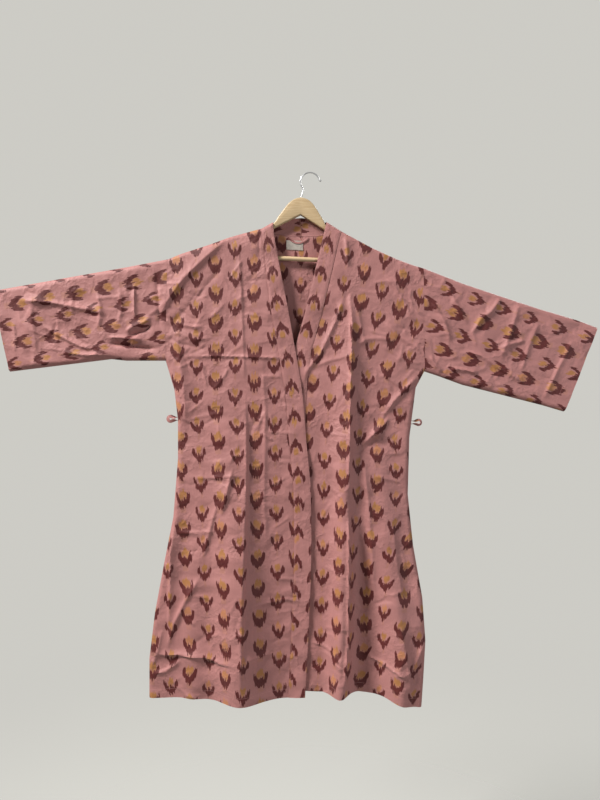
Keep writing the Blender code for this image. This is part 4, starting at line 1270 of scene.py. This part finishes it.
def cotton():
    """The printed cotton of every panel, on the piece's own print and sewing maps."""
    if "printed cotton" in bpy.data.materials:
        return bpy.data.materials["printed cotton"]
    build_ikat_group()
    build_weave_group()
    build_sewing_group()
    colours = bpy.context.scene.robe_print
    looks, sheet, shader = new_material("printed cotton")
    where = uv_of(sheet, "Print")
    ikat = placed(
        sheet,
        "Ikat print",
        Print=where,
        Ground=tuple(colours.ground) + (1.0,),
        Leaf=tuple(colours.leaf) + (1.0,),
        Ball=tuple(colours.ball) + (1.0,),
        Warm_Ball=tuple(colours.warm_ball) + (1.0,),
    )
    weave = placed(sheet, "Plain weave", Print=where)
    sewn = placed(sheet, "Stitch row", Sewing=uv_of(sheet, "Sewing"))
    shade = sheet.add("ShaderNodeHueSaturation")
    sheet.feed(shade.inputs["Color"], ikat.outputs["Color"])
    sheet.feed(shade.inputs["Value"], sheet.ramp(weave.outputs["Shade"], 0.0, 1.0, 0.93, 1.05))
    thread = sheet.mix(sewn.outputs["Thread"], shade.outputs["Color"], (0.52, 0.24, 0.22, 1.0))
    sheet.feed(shader.inputs["Base Color"], thread)
    sheet.feed(shader.inputs["Roughness"], sheet.ramp(weave.outputs["Height"], 0.0, 1.4, 0.64, 0.52))
    shader.inputs["Sheen Weight"].default_value = 0.10
    shader.inputs["Sheen Roughness"].default_value = 0.45
    shader.inputs["Specular IOR Level"].default_value = 0.40
    wide = sheet.maths("ABSOLUTE", sheet.maths("SUBTRACT", sheet.noise(where, 21.0, 3.0, 0.5), 0.5))
    close = sheet.maths("ABSOLUTE", sheet.maths("SUBTRACT", sheet.noise(where, 58.0, 3.0, 0.55), 0.5))
    lines = sheet.maths("ADD", sheet.maths("MULTIPLY", wide, 1.0), sheet.maths("MULTIPLY", close, 0.45))
    shown = sheet.ramp(sheet.noise(where, 9.0, 2.0), 0.35, 0.65, 0.25, 1.0)
    low = sheet.bump(sheet.maths("MULTIPLY", sheet.maths("POWER", lines, 0.55), shown), -0.0052, 0.8)
    pulled = sheet.bump(sewn.outputs["Pucker"], -0.0003, 0.7, low)
    raised = sheet.bump(sewn.outputs["Thread"], 0.0003, 0.8, pulled)
    sheet.feed(shader.inputs["Normal"], sheet.bump(weave.outputs["Height"], 0.00012, 0.55, raised))
    return looks


def woven():
    """A bare satin-woven label with a turned, stitched edge, its cream darkened by painted shade."""
    if "woven label" in bpy.data.materials:
        return bpy.data.materials["woven label"]
    build_weave_group()
    build_sewing_group()
    looks, sheet, shader = new_material("woven label")
    where = uv_of(sheet, "Print")
    weave = placed(sheet, "Plain weave", Print=where, Threads=3600.0)
    sewn = placed(sheet, "Stitch row", Sewing=uv_of(sheet, "Sewing"), Stitch=0.0022, Thread=0.00025)
    split = sheet.add("ShaderNodeSeparateXYZ")
    sheet.feed(split.inputs[0], where)
    ribs = sheet.maths("SINE", sheet.maths("MULTIPLY", split.outputs[1], 9000.0))
    cloud = sheet.noise(where, 120.0, 3.0)
    # The label's cream darkened to a grey beige: partly its own colour, partly painted shade for the shade it hangs in
    # inside the back neck.
    colour = sheet.mix(sheet.ramp(cloud, 0.2, 0.8), (0.36, 0.31, 0.27, 1.0), (0.47, 0.42, 0.36, 1.0))
    colour = sheet.mix(sheet.maths("MULTIPLY", weave.outputs["Shade"], 0.25), colour, (0.28, 0.23, 0.20, 1.0))
    sheet.feed(shader.inputs["Base Color"], sheet.mix(sewn.outputs["Thread"], colour, (0.40, 0.30, 0.27, 1.0)))
    sheet.feed(shader.inputs["Roughness"], sheet.ramp(cloud, 0.2, 0.8, 0.48, 0.62))
    shader.inputs["Sheen Weight"].default_value = 0.2
    height = sheet.maths("ADD", weave.outputs["Height"], sheet.maths("MULTIPLY", ribs, 0.5))
    sheet.feed(shader.inputs["Normal"], sheet.bump(height, 0.00012, 0.6))
    return looks


def build_wood_group():
    """Long beech grain with small dark flecks, along X."""
    takes = (("Place", VECTOR, None), ("Pale", COLOUR, (0.6, 0.4, 0.2, 1.0)), ("Deep", COLOUR, (0.5, 0.3, 0.15, 1.0)))
    sheet, given, made = group_tree("Beech grain", takes, (("Color", COLOUR), ("Height", FLOAT)))
    if sheet is None:
        return
    split = sheet.add("ShaderNodeSeparateXYZ")
    sheet.feed(split.inputs[0], given.outputs["Place"])
    x, y, z = split.outputs
    long_way = sheet.point(sheet.maths("MULTIPLY", x, 9.0), sheet.maths("MULTIPLY", y, 60.0), sheet.maths("MULTIPLY", z, 90.0))
    bend = sheet.noise(long_way, 1.0, 2.0)
    rings = sheet.maths("SINE", sheet.maths("ADD", sheet.maths("MULTIPLY", z, 1300.0), sheet.maths("MULTIPLY", bend, 26.0)))
    fibre = sheet.noise(
        sheet.point(sheet.maths("MULTIPLY", x, 60.0), sheet.maths("MULTIPLY", y, 1500.0), sheet.maths("MULTIPLY", z, 2200.0)), 1.0, 3.0
    )
    fleck = sheet.noise(
        sheet.point(sheet.maths("MULTIPLY", x, 300.0), sheet.maths("MULTIPLY", y, 1400.0), sheet.maths("MULTIPLY", z, 1700.0)), 1.0, 1.0
    )
    grain = sheet.maths("ADD", sheet.ramp(rings, -1.0, 1.0, 0.0, 0.55), sheet.ramp(fibre, 0.3, 0.7, 0.0, 0.45))
    colour = sheet.mix(grain, given.outputs["Pale"], given.outputs["Deep"])
    dark = sheet.add("ShaderNodeHueSaturation")
    sheet.feed(dark.inputs["Color"], colour)
    sheet.feed(dark.inputs["Value"], sheet.ramp(fleck, 0.70, 0.80, 1.0, 0.78))
    sheet.feed(made.inputs["Color"], dark.outputs["Color"])
    sheet.feed(made.inputs["Height"], sheet.maths("SUBTRACT", grain, sheet.ramp(fleck, 0.70, 0.80)))


def wood(name, pale, deep):
    """Sealed beech with a dull shine that varies in patches."""
    if name in bpy.data.materials:
        return bpy.data.materials[name]
    build_wood_group()
    looks, sheet, shader = new_material(name)
    place = sheet.add("ShaderNodeTexCoord").outputs["Object"]
    grain = placed(sheet, "Beech grain", Place=place, Pale=pale, Deep=deep)
    worn = sheet.noise(place, 30.0, 3.0)
    sheet.feed(shader.inputs["Base Color"], grain.outputs["Color"])
    sheet.feed(shader.inputs["Roughness"], sheet.ramp(worn, 0.3, 0.7, 0.34, 0.50))
    shader.inputs["Coat Weight"].default_value = 0.25
    shader.inputs["Coat Roughness"].default_value = 0.30
    sheet.feed(shader.inputs["Normal"], sheet.bump(grain.outputs["Height"], 0.00010, 0.5))
    return looks


def chrome():
    """Bright nickelled wire with fine drawing lines and a little dulling."""
    if "polished wire" in bpy.data.materials:
        return bpy.data.materials["polished wire"]
    looks, sheet, shader = new_material("polished wire")
    place = sheet.add("ShaderNodeTexCoord").outputs["Object"]
    dull = sheet.noise(place, 160.0, 4.0, 0.6)
    fine = sheet.noise(place, 2400.0, 2.0)
    sheet.feed(shader.inputs["Base Color"], sheet.mix(dull, (0.78, 0.78, 0.79, 1.0), (0.90, 0.90, 0.91, 1.0)))
    shader.inputs["Metallic"].default_value = 0.65
    sheet.feed(shader.inputs["Roughness"], sheet.ramp(dull, 0.3, 0.75, 0.18, 0.34))
    sheet.feed(shader.inputs["Normal"], sheet.bump(fine, 0.00003, 0.3))
    return looks


# Hanger


def hanger_point(reach, z):
    """A place on the hanger's middle plane, tipped as the hanger hangs."""
    turn = Matrix.Rotation(HANGER_TILT, 4, "Y")
    return Vector((HANGER_X, 0.0, HANGER_TOP)) + turn @ Vector((reach, 0.0, z - HANGER_TOP))


def rounded_line(points, steps):
    """A smooth line through points, with steps between each two."""
    points = [Vector((x, 0.0, z)) for x, z in points]
    padded = [2 * points[0] - points[1]] + points + [2 * points[-1] - points[-2]]
    line = []
    for before, start, end, after in zip(padded, padded[1:], padded[2:], padded[3:]):
        for step in range(steps):
            t = step / steps
            line.append(
                0.5 * (
                    2 * start + (end - before) * t
                    + (2 * before - 5 * start + 4 * end - after) * t * t
                    + (3 * start - before - 3 * end + after) * t * t * t
                )
            )
    return line + [points[-1]]


def hanger_body(sizes):
    """Flat shaped wood, its outline drawn smooth and its edges rounded over."""
    top = [(row.reach, row.top) for row in ARM]
    under = [(row.reach, row.under) for row in reversed(ARM)]
    right = rounded_line(top, 3) + rounded_line(under, 3)
    left = [Vector((-point.x, 0.0, point.z)) for point in reversed(right)]
    outline = right[:-1] + [right[-1]] + left[1:-1]
    bm = bmesh.new()
    lift = Vector((0.0, sizes.wood / 2, 0.0))
    edge = [bm.verts.new(hanger_point(point.x, point.z) + lift) for point in outline]
    face = bm.faces.new(edge)
    pushed = bmesh.ops.extrude_face_region(bm, geom=[face], use_keep_orig=True)
    moved = [item for item in pushed["geom"] if isinstance(item, bmesh.types.BMVert)]
    bmesh.ops.translate(bm, verts=moved, vec=(0.0, -sizes.wood, 0.0))
    rims = [found for found in bm.edges if abs(found.verts[0].co.y - found.verts[1].co.y) < 1e-6]
    bmesh.ops.bevel(
        bm,
        geom=rims,
        offset=sizes.wood_round,
        offset_type="OFFSET",
        affect="EDGES",
        segments=4,
        profile=0.5,
        material=-1,
        clamp_overlap=True,
    )
    bmesh.ops.recalc_face_normals(bm, faces=bm.faces)
    mesh = bpy.data.meshes.new("hanger_body")
    bm.to_mesh(mesh)
    bm.free()
    return link("hanger_wood", mesh, wood("beech", (0.62, 0.47, 0.28, 1.0), (0.50, 0.35, 0.19, 1.0)), "pale_wood", "hanger_body")


def hanger_bar(sizes):
    first, second = hanger_point(-BAR_HALF, BAR_Z), hanger_point(BAR_HALF, BAR_Z)
    bm = bmesh.new()
    length = (second - first).length
    bmesh.ops.create_cone(
        bm,
        cap_ends=True,
        segments=32,
        radius1=sizes.bar_radius,
        radius2=sizes.bar_radius,
        depth=length,
    )
    rims = [edge for edge in bm.edges if abs(edge.verts[0].co.z - edge.verts[1].co.z) < 1e-6]
    bmesh.ops.bevel(bm, geom=rims, offset=0.0008, affect="EDGES", segments=2, profile=0.5, material=-1)
    turn = (second - first).to_track_quat("Z", "Y").to_matrix().to_4x4()
    bmesh.ops.transform(bm, matrix=Matrix.Translation((first + second) / 2) @ turn, verts=bm.verts)
    mesh = bpy.data.meshes.new("hanger_bar")
    bm.to_mesh(mesh)
    bm.free()
    return link("hanger_bar_wood", mesh, wood("bar beech", (0.72, 0.54, 0.33, 1.0), (0.58, 0.40, 0.22, 1.0)), "pale_wood", "hanger_bar")


def hanger_hook(sizes):
    """Bent wire: a stem out of the wood, a round bow and a small ball tip."""
    foot = hanger_point(0.0, HANGER_TOP)
    points = [(foot.x, foot.z + SEAM_GAP + 0.0002)] + list(HOOK_STEM)
    start, end = HOOK_ARC
    for angle in np.radians(np.linspace(start, end, 16)):
        x = HOOK_CENTRE[0] + HOOK_RADIUS * math.cos(angle)
        points.append((x, HOOK_CENTRE[1] + HOOK_RADIUS * math.sin(angle)))
    line = rounded_line(points, 4)
    tip = line[-1]
    thick = [1.0] * len(line)
    for out, swell in ((0.0008, 1.12), (0.0015, 1.30), (0.0025, 1.45), (0.0036, 1.47), (0.0046, 1.34), (0.0054, 1.0), (0.0058, 0.45)):
        line.append(tip + Vector((out * 0.9, 0.0, -out * 0.55)))
        thick.append(swell)
    curve = bpy.data.curves.new("hanger_hook", "CURVE")
    curve.dimensions = "3D"
    curve.bevel_depth = sizes.wire_radius
    curve.bevel_resolution = 5
    curve.use_fill_caps = True
    spline = curve.splines.new("POLY")
    spline.points.add(len(line) - 1)
    for point, place, swell in zip(spline.points, line, thick):
        point.co = (*place, 1.0)
        point.radius = swell
    bent = bpy.data.objects.new("hook curve", curve)
    bpy.context.scene.collection.objects.link(bent)
    mesh = bpy.data.meshes.new_from_object(bent.evaluated_get(bpy.context.evaluated_depsgraph_get()))
    bpy.data.objects.remove(bent)
    mesh.materials.clear()
    return link("hanger_hook_wire", mesh, chrome(), "polished_wire", "hanger_hook")


# Settings and operators


class ClothSizes(bpy.types.PropertyGroup):
    wall: FloatProperty(name="Cloth wall", description="Thickness of the cotton", default=0.0009, unit="LENGTH")
    band_wall: FloatProperty(name="Band wall", description="Thickness of the doubled neck band", default=0.0018, unit="LENGTH")
    label_wall: FloatProperty(name="Label wall", description="Thickness of the woven label", default=0.0005, unit="LENGTH")


class PrintColours(bpy.types.PropertyGroup):
    ground: FloatVectorProperty(name="Ground", description="Cloth between the motifs", default=(0.430, 0.186, 0.172), subtype="COLOR")
    leaf: FloatVectorProperty(name="Leaf", description="Dark wings of the motifs", default=(0.098, 0.011, 0.010), subtype="COLOR")
    ball: FloatVectorProperty(name="Ball", description="Ochre of the motifs", default=(0.400, 0.172, 0.052), subtype="COLOR")
    warm_ball: FloatVectorProperty(name="Warm ball", description="Orange of some motifs", default=(0.480, 0.195, 0.090), subtype="COLOR")


class HangerSizes(bpy.types.PropertyGroup):
    wood: FloatProperty(name="Wood", description="Thickness of the shaped wood", default=0.012, unit="LENGTH")
    wood_round: FloatProperty(name="Edge radius", description="Rounding of the wood's edges", default=0.0030, unit="LENGTH")
    bar_radius: FloatProperty(name="Bar radius", description="Radius of the cross bar", default=0.0055, unit="LENGTH")
    wire_radius: FloatProperty(name="Wire radius", description="Radius of the hook's wire", default=0.0018, unit="LENGTH")


class StudioSettings(bpy.types.PropertyGroup):
    distance: FloatProperty(name="Camera distance", description="From the robe to the camera", default=1.55, unit="LENGTH")
    lens: FloatProperty(name="Lens", description="Focal length", default=27.9, unit="CAMERA")
    height: FloatProperty(name="Camera height", description="Height of the camera", default=-0.5725, unit="LENGTH")
    side: FloatProperty(name="Camera side", description="Sideways place of the camera", default=-0.0265, unit="LENGTH")
    wall_tone: FloatVectorProperty(name="Surroundings", description="Colour of the light all round", default=(0.61, 0.60, 0.56), subtype="COLOR")


class ROBE_OT_back(bpy.types.Operator):
    """Builds the back panel"""

    bl_idname = "robe.back"
    bl_label = "Back panel"

    def execute(self, context):
        sizes = context.scene.robe_cloth
        piece = back_panel(sizes.wall)
        return {"FINISHED"}


class ROBE_OT_fronts(bpy.types.Operator):
    """Builds the left and right front panels"""

    bl_idname = "robe.fronts"
    bl_label = "Front panels"

    def execute(self, context):
        wall = context.scene.robe_cloth.wall
        left = front_panel(
            "front_left", SIDE_LEFT, TOP_LEFT, OPENING_LEFT, HEM_LEFT,
            front_y, LEFT_GRAIN, LEFT_PRINT_PHASE, LEFT_RELIEF, wall,
        )
        right = front_panel(
            "front_right", SIDE_RIGHT, TOP_RIGHT, OPENING_RIGHT, HEM_RIGHT,
            lapped_y, RIGHT_GRAIN, RIGHT_PRINT_PHASE, RIGHT_RELIEF, wall,
        )
        return {"FINISHED"}


class ROBE_OT_sleeves(bpy.types.Operator):
    """Builds both sleeves as open tubes"""

    bl_idname = "robe.sleeves"
    bl_label = "Sleeves"

    def execute(self, context):
        wall = context.scene.robe_cloth.wall
        left = sleeve(
            "sleeve_left", TOP_LEFT, UNDER_LEFT, -1.0, LEFT_RELIEF, LEFT_SLEEVE_PRINT, wall,
        )
        right = sleeve(
            "sleeve_right", TOP_RIGHT, UNDER_RIGHT, 1.0, RIGHT_RELIEF, RIGHT_SLEEVE_PRINT, wall,
        )
        return {"FINISHED"}


class ROBE_OT_neck_band(bpy.types.Operator):
    """Builds the band round the neck and down both fronts"""

    bl_idname = "robe.neck_band"
    bl_label = "Neck band"

    def execute(self, context):
        piece = neck_band(context.scene.robe_cloth.band_wall)
        return {"FINISHED"}


class ROBE_OT_loops(bpy.types.Operator):
    """Builds both belt loops, the hanging loop and the label"""

    bl_idname = "robe.loops"
    bl_label = "Loops and label"

    def execute(self, context):
        sizes = context.scene.robe_cloth
        patch_piece = label_patch(sizes.label_wall)
        strip = hanging_loop(sizes.wall)
        for name, side, height, outward, shift, turn in (
            ("belt_loop_left", SIDE_LEFT, -0.6200, -1.0, 0.011, 75.0),
            ("belt_loop_right", SIDE_RIGHT, -0.6290, 1.0, 0.006, 42.0),
        ):
            piece = belt_loop(name, side, height, outward, shift, math.radians(turn), sizes.wall)
        return {"FINISHED"}


class ROBE_OT_hanger(bpy.types.Operator):
    """Builds the wooden hanger, its bar and its hook"""

    bl_idname = "robe.hanger"
    bl_label = "Hanger"

    def execute(self, context):
        sizes = context.scene.robe_hanger
        hanger_body(sizes)
        hanger_bar(sizes)
        hanger_hook(sizes)
        return {"FINISHED"}


def soft_light(name, place, target, size, power, colour):
    data = bpy.data.lights.new(name, "AREA")
    data.shape = "RECTANGLE"
    data.size, data.size_y = size
    data.energy = power
    data.color = colour
    lamp = bpy.data.objects.new(name, data)
    lamp.location = place
    lamp.rotation_euler = (Vector(target) - Vector(place)).to_track_quat("-Z", "Y").to_euler()
    bpy.context.scene.collection.objects.link(lamp)
    return lamp


def floor_looks(tone):
    looks, sheet, shader = new_material("pale floor")
    place = sheet.add("ShaderNodeTexCoord").outputs["Object"]
    mottle = sheet.noise(place, 3.0, 4.0)
    dark = tuple(0.96 * value for value in tone) + (1.0,)
    sheet.feed(shader.inputs["Base Color"], sheet.mix(mottle, dark, tuple(tone) + (1.0,)))
    shader.inputs["Roughness"].default_value = 0.9
    reach = sheet.add("ShaderNodeVectorMath", operation="LENGTH")
    sheet.feed(reach.inputs[0], place)
    sheet.feed(shader.inputs["Alpha"], sheet.ramp(reach.outputs["Value"], 1.2, 3.2, 1.0, 0.0))
    return looks


class ROBE_OT_stage(bpy.types.Operator):
    """Sets up the floor, the lights and the camera"""

    bl_idname = "robe.stage"
    bl_label = "Studio"

    def execute(self, context):
        studio = context.scene.robe_studio
        scene = context.scene
        bm = bmesh.new()
        bmesh.ops.create_circle(bm, cap_ends=True, segments=96, radius=7.0)
        bmesh.ops.translate(bm, verts=bm.verts, vec=(0.0, 0.0, -2.10))
        mesh = bpy.data.meshes.new("floor")
        bm.to_mesh(mesh)
        bm.free()
        mesh.materials.append(floor_looks((0.62, 0.62, 0.58)))
        floor = bpy.data.objects.new("floor", mesh)
        scene.collection.objects.link(floor)
        middle = (studio.side, -0.02, studio.height)
        soft_light("window", (-3.70, -1.95, 3.10), middle, (1.3, 1.3), 540.0, (1.0, 0.985, 0.965))
        soft_light("fill", (4.0, -3.2, -0.5), middle, (2.6, 2.6), 84.0, (0.95, 0.97, 1.0))
        soft_light("behind", (2.6, 3.4, 2.0), middle, (2.2, 2.2), 120.0, (1.0, 0.99, 0.97))
        world = bpy.data.worlds.new("pale room")
        world.use_nodes = True
        sheet = NodeSheet(world.node_tree)
        background = world.node_tree.nodes["Background"]
        seen = sheet.add("ShaderNodeLightPath").outputs["Is Camera Ray"]
        room = tuple(0.19 * value for value in studio.wall_tone) + (1.0,)
        tone = sheet.mix(seen, room, tuple(studio.wall_tone) + (1.0,))
        sheet.feed(background.inputs["Color"], tone)
        scene.world = world
        scene.view_settings.view_transform = "Standard"
        lens = bpy.data.cameras.new("camera")
        lens.lens = studio.lens
        lens.sensor_width = 36.0
        camera = bpy.data.objects.new("camera", lens)
        camera.location = (studio.side, -0.015 - studio.distance, studio.height)
        camera.rotation_euler = (math.radians(90.0), 0.0, 0.0)
        scene.collection.objects.link(camera)
        scene.camera = camera
        return {"FINISHED"}


class ROBE_PT_panel(bpy.types.Panel):
    """Lists the pieces of the robe in the order they are built"""

    bl_label = "Robe"
    bl_idname = "ROBE_PT_panel"
    bl_space_type = "VIEW_3D"
    bl_region_type = "UI"
    bl_category = "Robe"

    def draw(self, context):
        for operator in OPERATORS:
            self.layout.operator(operator.bl_idname)
        for settings in ("robe_cloth", "robe_print", "robe_hanger", "robe_studio"):
            group = getattr(context.scene, settings)
            for name in group.__annotations__:
                self.layout.prop(group, name)


OPERATORS = (
    ROBE_OT_stage,
    ROBE_OT_hanger,
    ROBE_OT_back,
    ROBE_OT_fronts,
    ROBE_OT_sleeves,
    ROBE_OT_neck_band,
    ROBE_OT_loops,
)
SETTINGS = {
    "robe_cloth": ClothSizes,
    "robe_print": PrintColours,
    "robe_hanger": HangerSizes,
    "robe_studio": StudioSettings,
}


def register():
    for kind in (*SETTINGS.values(), *OPERATORS, ROBE_PT_panel):
        bpy.utils.register_class(kind)
    for name, kind in SETTINGS.items():
        setattr(bpy.types.Scene, name, PointerProperty(type=kind))


def unregister():
    for name in SETTINGS:
        delattr(bpy.types.Scene, name)
    for kind in reversed((*SETTINGS.values(), *OPERATORS, ROBE_PT_panel)):
        bpy.utils.unregister_class(kind)


def main():
    register()
    for operator in OPERATORS:
        family, name = operator.bl_idname.split(".")
        getattr(getattr(bpy.ops, family), name)()


if __name__ == "__main__":
    main()
